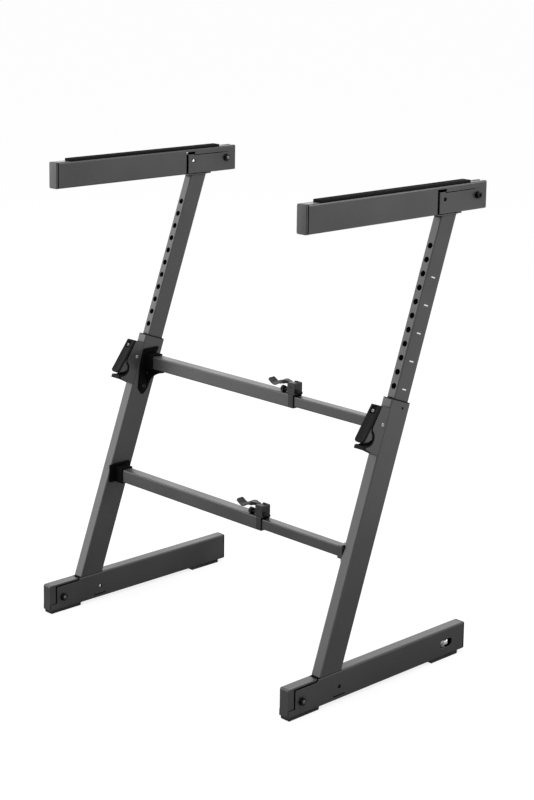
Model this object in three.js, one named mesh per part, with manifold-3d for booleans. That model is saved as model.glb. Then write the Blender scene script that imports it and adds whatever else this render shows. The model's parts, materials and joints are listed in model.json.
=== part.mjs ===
// A height-adjustable keyboard stand with two Z-shaped side frames and two telescoping crossbars.
// Millimetres, +Z up. X runs along the crossbars from the left frame to the right frame, and +Y
// points from the free ends of the arms to the rear ends of the feet. The origin is on the floor
// at the middle of the stand's footprint.

import * as THREE from 'three';
import { mergeVertices } from 'three/addons/utils/BufferGeometryUtils.js';
import Module from 'manifold-3d';

const wasm = await Module();
wasm.setup();

// Clearances shared by all pieces, and one overrun for every cut.
const seatGap = 0.3;
const tongueGap = 0.4;
const pinGap = 0.15;
const overrun = 6;

// The stand as a whole: the frames' spacing and the uprights' lean from the vertical.
const frameSpacing = 712;
const lean = THREE.MathUtils.degToRad(19.72);

// A foot: a steel box with an open front end, folding about a bolt near the toe.
const foot = {
  length: 500,
  width: 25,
  height: 55.8,
  wall: 1.5,
  corner: 3,
  pivotFromFront: 34.5,
  pivotHeight: 25.5,
  lockFromFront: 135.5,
  lockHeight: 24.5,
  toeInset: 1,
  toeStrip: 13.4,
  noseSeam: 18,
  shoulderDrop: 5.8,
  shoulderEnd: 71,
  shoulderCurve: 8,
  topWallFrom: 143,
  bottomWallFrom: 89,
};

// Load tabs lanced inward from the foot's side walls, under the bracket.
const tab = { from: 119, length: 30.6, height: 7.5, slit: 1, thickness: 1.2, reach: 3 };

// The bracket in the outer upright's lower end, which the foot folds around.
const footBracket = { corner: 4, rampFrom: 86, rampLength: 6, tongueTop: 119 };

// The plug that closes a foot's rear end.
const rearCap = { flange: 3.7, plugLength: 16, plugWall: 3 };

// Floor pads under the toe and the rear of a foot.
const pad = { thickness: 6.5, frontFrom: 3, frontTo: 83, rearFrom: 401, rearTo: 481, chamfer: 2, inset: 1 };

// The right foot's levelling wheel, the window it is turned through and its screw.
const leveller = {
  windowFrom: 427,
  windowTo: 461.6,
  windowLow: 18,
  windowHigh: 34,
  windowCorner: 7,
  wheelRadius: 12,
  wheelThickness: 9,
  notchDepth: 1,
  notchCount: 18,
  hubRadius: 6.5,
  screwRadius: 3,
  screwTop: 35,
};

// The bolts that the feet and the arms fold on.
const bolt = {
  radius: 4,
  lowHead: 3.5,
  lowHeadRadius: 7,
  socketHead: 7,
  socketHeadRadius: 6.5,
  socketRadius: 3,
  socketDepth: 4,
  nut: 5.5,
  nutRadius: 7.5,
  threadEnd: 1.5,
};

// Spring buttons that lock the folds, and the wall holes they show through.
const button = { radius: 3.8, length: 14.7, holeRadius: 4.3 };

// The outer upright. Places along an upright are measured from the foot's lower front corner.
const outer = { width: 24, depth: 54.4, wall: 1.6, corner: 2.4, front: 59.2, top: 616, footGap: 0.5 };

// The guide in the outer upright's mouth.
const sleeve = { flange: 1.7, blockLength: 40 };

// The inner upright and its row of height holes.
const inner = { width: 20, depth: 41, wall: 1.5, corner: 2.2, frontInset: 8.2, bottom: 452 };
const heights = { pitch: 27.45, below: 3, above: 12, holeRadius: 5 };

// The height lock on the front of the outer upright.
const lock = {
  low: 506.7,
  length: 92.3,
  reach: 33,
  cheek: 1.8,
  web: 1.8,
  fingerFromLow: 27.3,
  fingerOut: 38.8,
  fingerRadius: 17.5,
  pivotFromLow: 58.4,
  pinFromLow: 79.9,
  pivotOut: 9.5,
};

// The lever inside the lock, drawn about its pivot with its length along the hand pad.
const lever = {
  lean: THREE.MathUtils.degToRad(16.94),
  plate: 2,
  backPlane: 21.2,
  top: 26,
  bottom: 50,
  boss: 7,
  slotAbove: 5.3,
  slotBelow: 4.5,
};
const handPad = {
  thickness: 4.2,
  top: 27.3,
  bottom: 51.6,
  corner: 6,
  topCorner: 2,
  recessDepth: 2.4,
  recessLow: 8,
  recessHigh: 24,
  recessHalf: 6,
};
const detent = { tipRadius: 4.6, tipLength: 11.9, shaftRadius: 2.5, headOut: 31, head: 1.8, headRadius: 3.4 };
const leverPin = { radius: 3, headRadius: 4, head: 0.9 };
const fingerRest = { band: 2.3, lipFromLow: 3.8, lip: 7.5, lipOut: 45, floor: 5.5, floorOut: 20 };
const bandStart = THREE.MathUtils.degToRad(262);
const bandEnd = THREE.MathUtils.degToRad(421);

// A small guide screw on the outer face near the upright's top.
const guideScrew = { belowTop: 11, fromFront: 35.5, radius: 2, height: 0.6 };

// An arm: a steel box carried by a bracket in the inner upright, folding about a bolt at the rear.
// Its bolt is behind the upright. The other places are ahead of the bolt and above the arm's bottom.
const arm = {
  pivotBehind: 55.9,
  pivotFromRear: 27,
  length: 496,
  width: 25,
  height: 54.4,
  bottom: 898.6,
  wall: 1.5,
  corner: 3,
  pivotRise: 28.4,
  lockAhead: 95,
  gapAhead: 117,
  gapWidth: 7,
  gapRise: 48.4,
  hookAhead: 91,
  hookRise: 42.7,
  seamRise: 41.8,
  seamBehind: 7,
  seamWidth: 0.8,
  seamDepth: 0.7,
  topOpenAhead: 4,
  floorAhead: 33,
  slot: 8,
};

// The bracket on the inner upright's top that carries the arm.
const armBracket = {
  plate: 2.2,
  plateAhead: 8,
  bodyInset: 1,
  bodyRise: 42.4,
  bodyCorner: 12,
  bodyClear: 46,
  link: 7,
  hubRadius: 9.5,
  tongueLength: 40,
};
const frontCap = { flange: 5.5, plugLength: 18, plugWall: 3 };
const strip = { fromFront: 38.5, fromRear: 45, width: 21, thickness: 4.5, chamfer: 1.2 };

// The telescoping crossbars: an outer bar on the left frame, an inner bar on the right frame.
const bar = {
  width: 25,
  height: 27.7,
  wall: 1.5,
  corner: 2,
  outerEnd: 95.5,
  innerWidth: 20,
  innerHeight: 21,
  innerCorner: 1.8,
  innerLength: 470,
};
const barHeights = { upper: 503.05, lower: 268.25 };

// Brackets that hold the crossbars' ends on the uprights' inner faces.
const socket = { flange: 3, wall: 2.4, length: 26 };
const gusset = {
  drop: 72.5,
  width: 57,
  webReach: 54,
  webThickness: 4,
  webFromCentre: 8,
  boltRadius: 4,
  boltHeight: 2.2,
};
const lowBracket = { rise: 21.8, width: 56, corner: 3 };

// The clamp on the outer bar's end, its lever and its screw. Heights are above the bar's top.
const clamp = {
  from: 92,
  to: 112,
  height: 24,
  depth: 22,
  corner: 3,
  collarTo: 108,
  collarGap: 0.5,
  pivotAt: 101,
  pivotHeight: 15.5,
  pinRadius: 2.5,
  slotFrom: 10.4,
  slotTo: 19.6,
  hubRadius: 6,
};
const wing = {
  elbow: 33,
  elbowHeight: 22,
  dip: 52,
  dipHeight: 10,
  tip: 69,
  tipHeight: 20,
  thickness: 3.2,
  width: 18,
  rim: 1.4,
  rimHeight: 1.5,
};
const clampScrew = {
  radius: 3.8,
  height: 7.1,
  fromFront: 5.5,
  nutFrom: 73.5,
  nut: 7,
  nutRadius: 7.3,
  to: 127,
};

// Points of outlines as shares of the sizes that they follow.
const cheek_shares = [[0, 0], [0.06, 1.15], [0.1, 1.16], [0.47, 1], [0.55, 1], [1, 0.7], [1, 0]];
const ear_shares = [
  [-1.04, 0.5], [-0.38, 0.4], [0.24, 0.12], [0.33, 0],
  [0.19, -0.14], [-0.17, -0.64], [-0.57, -0.86], [-1.04, -0.98],
];
const gusset_shares = [
  [-0.28, 0.37, 0.08], [-0.44, 0.04, 0.2], [-0.54, -0.8, 0.15], [-0.37, -1, 0.14], [-0.17, -0.86, 0.14],
  [0.24, -0.3, 0.2], [0.27, 0.15, 0.1], [0.45, 0.37, 0.08],
];
const gusset_bolt_shares = [[-0.1, -0.36], [-0.34, -0.75]];
const web_bow_share = 0.25;
const web_foot_share = 0.74;
const link_shares = [
  [0, -0.8], [-1.47, 0.42], [-2.74, 0.74], [-4.74, -1.58], [-6.4, -1.58],
  [-6.4, 1.47], [-3.2, 1.9], [0, 1.9], [0.9, 0.4],
];

// Places that several pieces share.
const slope = { sin: Math.sin(lean), cos: Math.cos(lean) };
const footInside = foot.width / 2 - foot.wall;
const footBracketHalf = footInside - seatGap;
const padHalf = foot.width / 2 - pad.inset;
const lipHeight = foot.height - foot.shoulderDrop;
const footPivot = [foot.pivotFromFront, foot.pivotHeight];
const footLock = [foot.lockFromFront, foot.lockHeight];
const armInside = arm.width / 2 - arm.wall;
const armBracketHalf = armInside - seatGap;
const armTop = arm.bottom + arm.height;
const plateTop = arm.bottom - seatGap;
const plateBottom = plateTop - armBracket.plate;
const outerHalf = outer.width / 2;
const outerInside = outerHalf - outer.wall;
const outerMiddle = outer.front + outer.depth / 2;
const outerRear = outer.front + outer.depth;
const innerFront = outer.front + inner.frontInset;
const innerMiddle = innerFront + inner.depth / 2;
const innerRear = innerFront + inner.depth;
const innerInside = inner.width / 2 - inner.wall;
const pinAlong = lock.low + lock.pinFromLow;
const armPivot = [frontAt(innerRear, plateTop) + arm.pivotBehind, arm.bottom + arm.pivotRise];
const armLock = [armPivot[0] - arm.lockAhead, armPivot[1]];
const armRear = armPivot[0] + arm.pivotFromRear;
const armFront = armRear - arm.length;
const originY = -armRear / 2;
const cheekInside = outerHalf - lock.cheek;
const leverHalf = cheekInside - seatGap;
const padBack = lever.backPlane + lever.plate + seatGap;
const barTop = bar.height / 2;
const faceX = frameSpacing / 2 - outerHalf - seatGap;

const X = new THREE.Vector3(1, 0, 0);
const Y = new THREE.Vector3(0, 1, 0);
const Z = new THREE.Vector3(0, 0, 1);
const spans = {
  x: new THREE.Matrix4().makeBasis(Y, Z, X),
  y: new THREE.Matrix4().makeBasis(X, Z, Y.clone().negate()),
  z: new THREE.Matrix4(),
};

// The foot-and-height coordinates of a point given by its depth behind the slope and its place along it.
function onSlope(depth, along) {
  return [depth * slope.cos + along * slope.sin, along * slope.cos - depth * slope.sin];
}

// The distance from the front of a sloping line at a given depth, at a given height.
function frontAt(depth, height) {
  return (depth + height * slope.sin) / slope.cos;
}

// The place along a sloping line at a given depth where it passes a given height.
function alongAt(depth, height) {
  return (height + depth * slope.sin) / slope.cos;
}

// A geometry's triangles as a closed solid, without those that have shrunk to a line.
function asSolid(geometry) {
  geometry.deleteAttribute('normal');
  geometry.deleteAttribute('uv');
  const merged = mergeVertices(geometry);
  const corners = merged.index.array;
  const triVerts = [];
  for (let i = 0; i < corners.length; i += 3) {
    const [a, b, c] = corners.slice(i, i + 3);
    if (a !== b && b !== c && c !== a) triVerts.push(a, b, c);
  }
  return new wasm.Manifold(new wasm.Mesh({
    numProp: 3,
    vertProperties: new Float32Array(merged.attributes.position.array),
    triVerts: new Uint32Array(triVerts),
  }));
}

// A solid's surface as a geometry for a mesh.
function asGeometry(solid) {
  const mesh = solid.getMesh();
  const geometry = new THREE.BufferGeometry();
  geometry.setAttribute('position', new THREE.BufferAttribute(mesh.vertProperties, 3));
  geometry.setIndex(new THREE.BufferAttribute(mesh.triVerts, 1));
  geometry.computeVertexNormals();
  return geometry;
}

// A closed outline through corners [a, b], or [a, b, radius] where the corner is rounded.
function outline(points, PathClass = THREE.Shape) {
  const path = new PathClass();
  points.forEach(([a, b, radius = 0], i) => {
    const corner = new THREE.Vector2(a, b);
    const [c, d] = points[(i + points.length - 1) % points.length];
    const [e, f] = points[(i + 1) % points.length];
    const start = new THREE.Vector2(c, d).sub(corner).setLength(radius).add(corner);
    const end = new THREE.Vector2(e, f).sub(corner).setLength(radius).add(corner);
    if (i === 0) path.moveTo(start.x, start.y);
    else path.lineTo(start.x, start.y);
    if (radius > 0) path.quadraticCurveTo(a, b, end.x, end.y);
  });
  path.closePath();
  return path;
}

// A rectangle's corners about a centre, for an outline.
function rectangle(width, height, corner, [a, b] = [0, 0]) {
  return [
    [a - width / 2, b - height / 2, corner],
    [a + width / 2, b - height / 2, corner],
    [a + width / 2, b + height / 2, corner],
    [a - width / 2, b + height / 2, corner],
  ];
}

// A box tube's section: a rounded rectangle with a rounded opening.
function tubeSection(width, height, corner, wall, centre = [0, 0]) {
  const section = outline(rectangle(width, height, corner, centre));
  const opening = rectangle(width - 2 * wall, height - 2 * wall, corner / 2, centre);
  section.holes.push(outline(opening, THREE.Path));
  return section;
}

function circle([a, b], radius) {
  return new THREE.Shape().absarc(a, b, radius, 0, 2 * Math.PI, false);
}

// A regular polygon's corners about a centre, the first one along the first axis.
function regular([a, b], radius, sides) {
  return Array.from({ length: sides }, (_, i) => {
    const angle = (2 * Math.PI * i) / sides;
    return [a + radius * Math.cos(angle), b + radius * Math.sin(angle)];
  });
}

// A shape swept along one axis. Along x the shape's plane is (y, z), and along y it is (x, z).
function extrude(shape, axis, from, to, curveSegments = 2) {
  const geometry = new THREE.ExtrudeGeometry(shape, { depth: to - from, bevelEnabled: false, curveSegments });
  geometry.translate(0, 0, axis === 'y' ? -to : from);
  geometry.applyMatrix4(spans[axis]);
  return asSolid(geometry);
}

function rod(axis, centre, radius, from, to, curveSegments = 8) {
  return extrude(circle(centre, radius), axis, from, to, curveSegments);
}

function block([x0, x1], [y0, y1], [z0, z1]) {
  const geometry = new THREE.BoxGeometry(x1 - x0, y1 - y0, z1 - z0);
  geometry.translate((x0 + x1) / 2, (y0 + y1) / 2, (z0 + z1) / 2);
  return asSolid(geometry);
}

const union = (...solids) => solids.reduce((sum, solid) => sum.add(solid));
const cut = (solid, ...tools) => tools.reduce((rest, tool) => rest.subtract(tool), solid);
const across = (half) => [-half, half];

// Materials: powder-coated steel, plated parts, moulded plastic and rubber.
const finish = (color, roughness, metalness) => () => (
  new THREE.MeshStandardMaterial({ color, roughness, metalness })
);
const powderCoat = finish(0x2b2b2d, 0.55, 0.3);
const blackPaint = finish(0x161617, 0.5, 0.3);
const plated = finish(0xb8b8ba, 0.35, 0.9);
const darkSteel = finish(0x4a4a4c, 0.4, 0.8);
const plastic = finish(0x121213, 0.6, 0);
const rubber = finish(0x0e0e0f, 0.85, 0);

function place(parent, name, solid, material) {
  const mesh = new THREE.Mesh(asGeometry(solid), material());
  mesh.name = name;
  parent.add(mesh);
}

// Foot

function footTube(hasWindow) {
  const half = foot.width / 2;
  const shoulder = foot.shoulderEnd + foot.shoulderCurve;
  const tubeEnd = foot.length - rearCap.flange - seatGap;
  const insideDepth = foot.wall + foot.corner;
  const shoulderTop = foot.height + foot.shoulderCurve;
  const section = tubeSection(foot.width, foot.height, foot.corner, foot.wall, [0, foot.height / 2]);
  const shell = extrude(section, 'y', foot.toeInset, tubeEnd);
  const noseCut = outline([
    [-overrun, foot.toeStrip],
    [foot.noseSeam, foot.toeStrip, foot.corner],
    [foot.noseSeam, lipHeight, foot.corner],
    [shoulder, lipHeight, foot.shoulderCurve],
    [shoulder, shoulderTop],
    [-overrun, shoulderTop],
  ]);
  const tabTop = tab.height + tab.slit + tab.thickness;
  const tabSpan = [tab.from, tab.from + tab.length];
  const body = cut(
    shell,
    extrude(noseCut, 'x', -half - overrun, half + overrun, 4),
    block(across(footInside), [-overrun, foot.topWallFrom], [foot.height - insideDepth, shoulderTop]),
    block(across(footInside), [-overrun, foot.bottomWallFrom], [-overrun, insideDepth]),
    block(across(half + overrun), tabSpan, [tab.height, tab.height + tab.slit]),
    block(across(half + overrun), [tab.from, tab.from + tab.slit], [tab.height, tabTop + tab.slit]),
    rod('x', footPivot, bolt.radius + pinGap, -half - overrun, half + overrun),
    rod('x', footLock, button.holeRadius, -half - overrun, half + overrun, 8),
  );
  const ledges = [-1, 1].map((side) => {
    const edges = [side * (footInside - tab.reach), side * (half - foot.wall / 2)].sort((a, b) => a - b);
    return block(edges, [tab.from + 2 * tab.slit, tab.from + tab.length], [tab.height + tab.slit, tabTop]);
  });
  const withTabs = union(body, ...ledges);
  if (!hasWindow) return withTabs;
  const window = outline([
    [leveller.windowFrom, leveller.windowLow, foot.corner],
    [leveller.windowTo, leveller.windowLow, leveller.windowCorner],
    [leveller.windowTo, leveller.windowHigh, leveller.windowCorner],
    [leveller.windowFrom, leveller.windowHigh, foot.corner],
  ]);
  return cut(
    withTabs,
    extrude(window, 'x', -half - overrun, half + overrun, 3),
    rod('z', [0, wheelCentre], leveller.screwRadius + seatGap, -overrun, foot.wall + overrun),
  );
}

function footBracketSolid() {
  const tongueFront = outer.front + outer.wall + tongueGap;
  const tongueRear = outerRear - outer.wall - tongueGap;
  const shoulder = foot.shoulderEnd + foot.shoulderCurve;
  const underside = tab.height + tab.slit + tab.thickness + seatGap;
  const heel = [frontAt(tongueRear, foot.height), foot.height];
  const sweep = Math.hypot(heel[0] - footPivot[0], heel[1] - footPivot[1]);
  const lower = extrude(outline([
    [0, 0, footBracket.corner],
    [footBracket.rampFrom, 0],
    [footBracket.rampFrom + footBracket.rampLength, underside],
    [foot.topWallFrom, underside],
    [foot.topWallFrom, foot.height],
    [frontAt(tongueFront, foot.height), foot.height],
    [frontAt(tongueFront, lipHeight), lipHeight],
    [shoulder, lipHeight],
    [shoulder, foot.height],
    [0, foot.height, footBracket.corner],
  ]), 'x', -footBracketHalf, footBracketHalf, 3);
  const tongueHalf = outerInside - tongueGap;
  const tongue = extrude(outline([
    [frontAt(tongueFront, lipHeight), lipHeight],
    heel,
    onSlope(tongueRear, footBracket.tongueTop),
    onSlope(tongueFront, footBracket.tongueTop),
  ]), 'x', -tongueHalf, tongueHalf);
  const reach = rod('x', footPivot, sweep, -footBracketHalf, footBracketHalf, 32);
  return cut(
    union(lower.intersect(reach), tongue),
    rod('x', footPivot, bolt.radius + pinGap, -foot.width, foot.width),
    rod('x', footLock, button.radius + pinGap, -foot.width, foot.width),
  );
}

function padSolid(from, to, half) {
  const bottom = -pad.thickness;
  return extrude(outline([
    [from + pad.chamfer, bottom],
    [to - pad.chamfer, bottom],
    [to, bottom + pad.chamfer],
    [to, -seatGap],
    [from, -seatGap],
    [from, bottom + pad.chamfer],
  ]), 'x', -half, half);
}

// A cap that closes a box tube: a flange flush with the tube and a plug inside it, towards plugSide.
function endCap(tube, cap, edge, plugSide, height) {
  const [flangeFrom, flangeTo] = plugSide > 0 ? [edge, edge + cap.flange] : [edge - cap.flange, edge];
  const plugInset = tube.wall + tongueGap;
  const section = outline(rectangle(tube.width, tube.height, tube.corner, [0, height]));
  const [plugWidth, plugHeight] = [tube.width - 2 * plugInset, tube.height - 2 * plugInset];
  const plug = tubeSection(plugWidth, plugHeight, tube.corner / 2, cap.plugWall, [0, height]);
  const [plugFrom, plugTo] = plugSide > 0
    ? [flangeTo - cap.plugWall, flangeTo + cap.plugLength]
    : [flangeFrom - cap.plugLength, flangeFrom + cap.plugWall];
  return union(extrude(section, 'y', flangeFrom, flangeTo), extrude(plug, 'y', plugFrom, plugTo));
}

const wheelCentre = (leveller.windowFrom + leveller.windowTo) / 2;
const wheelLow = (leveller.windowLow + leveller.windowHigh - leveller.wheelThickness) / 2;

function levellingPad() {
  const screw = rod('z', [0, wheelCentre], leveller.screwRadius, -seatGap - pad.chamfer, leveller.screwTop);
  return union(padSolid(pad.rearFrom, pad.rearTo, padHalf), screw);
}

function levellingWheel() {
  const grips = regular([0, wheelCentre], leveller.wheelRadius, 2 * leveller.notchCount);
  const notched = grips.map(([x, y], i) => {
    const share = i % 2 === 0 ? 1 : 1 - leveller.notchDepth / leveller.wheelRadius;
    return [x * share, wheelCentre + (y - wheelCentre) * share];
  });
  return cut(
    union(
      extrude(outline(notched), 'z', wheelLow, wheelLow + leveller.wheelThickness),
      rod('z', [0, wheelCentre], leveller.hubRadius, foot.wall + seatGap, wheelLow + foot.wall),
    ),
    rod('z', [0, wheelCentre], leveller.screwRadius + pinGap, -overrun, leveller.screwTop + overrun),
  );
}

// Bolts and buttons

function foldBolt(centre, halfWidth, headSide, hasSocket) {
  const face = halfWidth + seatGap;
  const [head, headRadius] = hasSocket
    ? [bolt.socketHead, bolt.socketHeadRadius]
    : [bolt.lowHead, bolt.lowHeadRadius];
  const reach = (side, a, b) => [side * a, side * b].sort((p, q) => p - q);
  const nutSide = -headSide;
  const shankEnd = face + bolt.nut + bolt.threadEnd;
  const whole = union(
    rod('x', centre, bolt.radius, ...reach(nutSide, -face - bolt.lowHead / 2, shankEnd)),
    rod('x', centre, headRadius, ...reach(headSide, face, face + head), 9),
    extrude(outline(regular(centre, bolt.nutRadius, 6)), 'x', ...reach(nutSide, face, face + bolt.nut)),
  );
  if (!hasSocket) return whole;
  const recess = outline(regular(centre, bolt.socketRadius, 6));
  const recessSpan = reach(headSide, face + head - bolt.socketDepth, face + head + overrun);
  return cut(whole, extrude(recess, 'x', ...recessSpan));
}

function lockButton(centre, half, side) {
  const ends = [side * half, side * (half - button.length)].sort((a, b) => a - b);
  return rod('x', centre, button.radius, ...ends);
}

// Uprights, in the leaning frame: y is the depth behind the slope and z the place along it

// The part of a leaning frame that lies below (-1) or above (1) a level plane.
function levelCut(height, side) {
  const [near, far] = [outer.front - overrun, outerRear + overrun];
  const away = side * foot.length;
  return extrude(outline([
    [near, alongAt(near, height)],
    [far, alongAt(far, height)],
    [far, alongAt(far, height) + away],
    [near, alongAt(near, height) + away],
  ]), 'x', -frameSpacing, frameSpacing);
}

function outerUpright(side) {
  const section = tubeSection(outer.width, outer.depth, outer.corner, outer.wall, [0, outerMiddle]);
  const screwAt = [outer.front + guideScrew.fromFront, outer.top - guideScrew.belowTop];
  const screwSpan = [outerHalf - outer.wall / 2, outerHalf + guideScrew.height]
    .map((edge) => side * edge)
    .sort((a, b) => a - b);
  const trimmed = cut(
    extrude(section, 'z', foot.height, outer.top),
    levelCut(foot.height + outer.footGap, -1),
    rod('y', [0, pinAlong], detent.tipRadius + seatGap, outer.front - overrun, outer.front + overrun),
  );
  return union(trimmed, rod('x', screwAt, guideScrew.radius, ...screwSpan, 6));
}

function guideSleeve() {
  const low = outer.top + seatGap;
  const section = outline(rectangle(outer.width, outer.depth, outer.corner, [0, outerMiddle]));
  const [openWidth, openDepth] = [inner.width + 2 * seatGap, inner.depth + 2 * seatGap];
  const opening = rectangle(openWidth, openDepth, inner.corner, [0, innerMiddle]);
  section.holes.push(outline(opening, THREE.Path));
  const half = outerInside - tongueGap;
  const blocks = [
    [outer.front + outer.wall + tongueGap, innerFront - seatGap],
    [innerRear + seatGap, outerRear - outer.wall - tongueGap],
  ].map((depths) => block(across(half), depths, [outer.top - sleeve.blockLength, low + sleeve.flange / 2]));
  return cut(
    union(extrude(section, 'z', low, low + sleeve.flange), ...blocks),
    rod('y', [0, pinAlong], detent.tipRadius + seatGap, outer.front - overrun, innerFront),
  );
}

function innerUpright() {
  const section = tubeSection(inner.width, inner.depth, inner.corner, inner.wall, [0, innerMiddle]);
  const holes = [];
  for (let step = -heights.below; step <= heights.above; step += 1) {
    const along = pinAlong + step * heights.pitch;
    holes.push(rod('y', [0, along], heights.holeRadius, innerFront - overrun, innerFront + overrun, 6));
  }
  const topHeight = plateBottom - seatGap;
  return cut(
    extrude(section, 'z', inner.bottom, alongAt(innerRear, topHeight) + overrun),
    levelCut(topHeight, 1),
    ...holes,
  );
}

// Height lock, in the leaning frame. Distances out are measured forward from the outer upright.

const outward = (out, along) => [outer.front - out, along];
const fingerCentre = outward(lock.fingerOut, lock.low + lock.fingerFromLow);
const leverPivot = outward(lock.pivotOut, lock.low + lock.pivotFromLow);

function lockHousing() {
  const points = cheek_shares.map(([along, out]) => (
    outward(seatGap + out * (lock.reach - seatGap), lock.low + along * lock.length)
  ));
  const webFront = outer.front - seatGap - lock.web;
  return cut(
    extrude(outline(points), 'x', -outerHalf, outerHalf),
    block(across(cheekInside), [webFront - lock.length, webFront], [lock.low - overrun, outer.top]),
    rod('x', fingerCentre, lock.fingerRadius, -outer.width, outer.width, 14),
    rod('x', leverPivot, leverPin.radius + pinGap, -outer.width, outer.width),
    rod('y', [0, pinAlong], detent.tipRadius + seatGap, webFront - overrun, outer.front + overrun),
  );
}

function fingerRestSolid() {
  const band = new THREE.Shape();
  const bandOuter = lock.fingerRadius - seatGap;
  band.absarc(...fingerCentre, bandOuter, bandStart, bandEnd, false);
  band.absarc(...fingerCentre, bandOuter - fingerRest.band, bandEnd, bandStart, true);
  const lipLow = lock.low + fingerRest.lipFromLow;
  const lipDepths = [outer.front - fingerRest.lipOut, outer.front - lock.fingerOut + seatGap];
  const floorDepths = [outer.front - fingerRest.lipOut + overrun, outer.front - fingerRest.floorOut];
  return union(
    cut(
      extrude(band, 'x', -outerHalf, outerHalf, 8),
      block(across(cheekInside), [0, outer.front], [lock.low, outer.top]),
    ),
    block(across(outerHalf), lipDepths, [lipLow, lipLow + fingerRest.lip]),
    block(across(leverHalf), floorDepths, [lipLow, lipLow + fingerRest.floor]),
  );
}

function detentPin() {
  const tipEnd = innerFront - seatGap;
  const head = outer.front - detent.headOut;
  const axis = [0, pinAlong];
  return union(
    rod('y', axis, detent.tipRadius, tipEnd - detent.tipLength, tipEnd),
    rod('y', axis, detent.shaftRadius, head - detent.head, tipEnd),
    rod('y', axis, detent.headRadius, head - detent.head, head),
  );
}

function leverPinSolid() {
  const face = outerHalf + seatGap;
  return union(
    rod('x', leverPivot, leverPin.radius, -face - leverPin.head / 2, face + leverPin.head / 2),
    rod('x', leverPivot, leverPin.headRadius, face, face + leverPin.head),
    rod('x', leverPivot, leverPin.headRadius, -face - leverPin.head, -face),
  );
}

function leverSlot() {
  const half = detent.shaftRadius + tongueGap;
  const depths = [-padBack - handPad.thickness - overrun, -lever.backPlane + overrun];
  const pinRise = lock.pinFromLow - lock.pivotFromLow;
  const crossing = (pinRise - padBack * Math.sin(lever.lean)) / Math.cos(lever.lean);
  return block(across(half), depths, [crossing - lever.slotBelow, crossing + lever.slotAbove]);
}

function lockLever() {
  const ears = outline(ear_shares.map(([depth, along]) => [depth * lever.backPlane, along * lever.bottom]));
  const earInside = leverHalf - lever.plate;
  const plateFront = -lever.backPlane - lever.plate;
  const plateSpan = [-lever.bottom, lever.top];
  const fork = cut(
    union(extrude(ears, 'x', -leverHalf, leverHalf), rod('x', [0, 0], lever.boss, -leverHalf, leverHalf)),
    block(across(earInside), across(lever.backPlane), across(lever.bottom + overrun)),
    block(across(outer.width), [-padBack - overrun, plateFront], [-outer.top, outer.top]),
  );
  const plate = block(across(leverHalf), [plateFront, -lever.backPlane], plateSpan);
  return cut(
    union(fork, plate),
    leverSlot(),
    rod('x', [0, 0], leverPin.radius + pinGap, -outer.width, outer.width),
  );
}

function handPadSolid() {
  const face = outline([
    [-outerHalf, -handPad.bottom, handPad.corner],
    [outerHalf, -handPad.bottom, handPad.corner],
    [outerHalf, handPad.top, handPad.topCorner],
    [-outerHalf, handPad.top, handPad.topCorner],
  ]);
  const front = -padBack - handPad.thickness;
  const recessDepths = [front - overrun, front + handPad.recessDepth];
  return cut(
    extrude(face, 'y', front, -padBack, 3),
    block(across(handPad.recessHalf), recessDepths, [handPad.recessLow, handPad.recessHigh]),
    leverSlot(),
  );
}

// Arm

function armTube() {
  const half = arm.width / 2;
  const middle = [0, arm.bottom + arm.height / 2];
  const insideDepth = arm.wall + arm.corner;
  const front = armFront + frontCap.flange + seatGap;
  const [gapFrom, hookTo] = [armPivot[0] - arm.gapAhead, armPivot[0] - arm.hookAhead];
  const gapTop = arm.bottom + arm.gapRise;
  const rearOpening = [armPivot[0] - arm.topOpenAhead, armRear + overrun];
  const shell = union(
    extrude(tubeSection(arm.width, arm.height, arm.corner, arm.wall, middle), 'y', front, armRear),
    extrude(outline(rectangle(arm.width, arm.height, arm.corner, middle)), 'y', armRear - arm.wall, armRear),
  );
  const seamSpan = [arm.bottom + arm.seamRise - arm.seamWidth, arm.bottom + arm.seamRise];
  const seamLength = [hookTo, armPivot[0] + arm.seamBehind];
  const floorSpan = [arm.bottom - overrun, arm.bottom + insideDepth];
  return cut(
    shell,
    block(across(armInside), [gapFrom, armPivot[0] - arm.floorAhead], floorSpan),
    block(across(arm.slot / 2), [gapFrom, armRear + overrun], floorSpan),
    block(across(arm.slot / 2), rearOpening, [arm.bottom, armTop + overrun]),
    block(across(half + overrun), [gapFrom, gapFrom + arm.gapWidth], [arm.bottom - overrun, gapTop]),
    block(across(half + overrun), [gapFrom, hookTo], [arm.bottom + arm.hookRise, gapTop]),
    block([half - arm.seamDepth, half + overrun], seamLength, seamSpan),
    block([-half - overrun, -half + arm.seamDepth], seamLength, seamSpan),
    rod('x', armPivot, bolt.radius + pinGap, -half - overrun, half + overrun),
    rod('x', armLock, button.holeRadius, -half - overrun, half + overrun, 8),
  );
}

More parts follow.
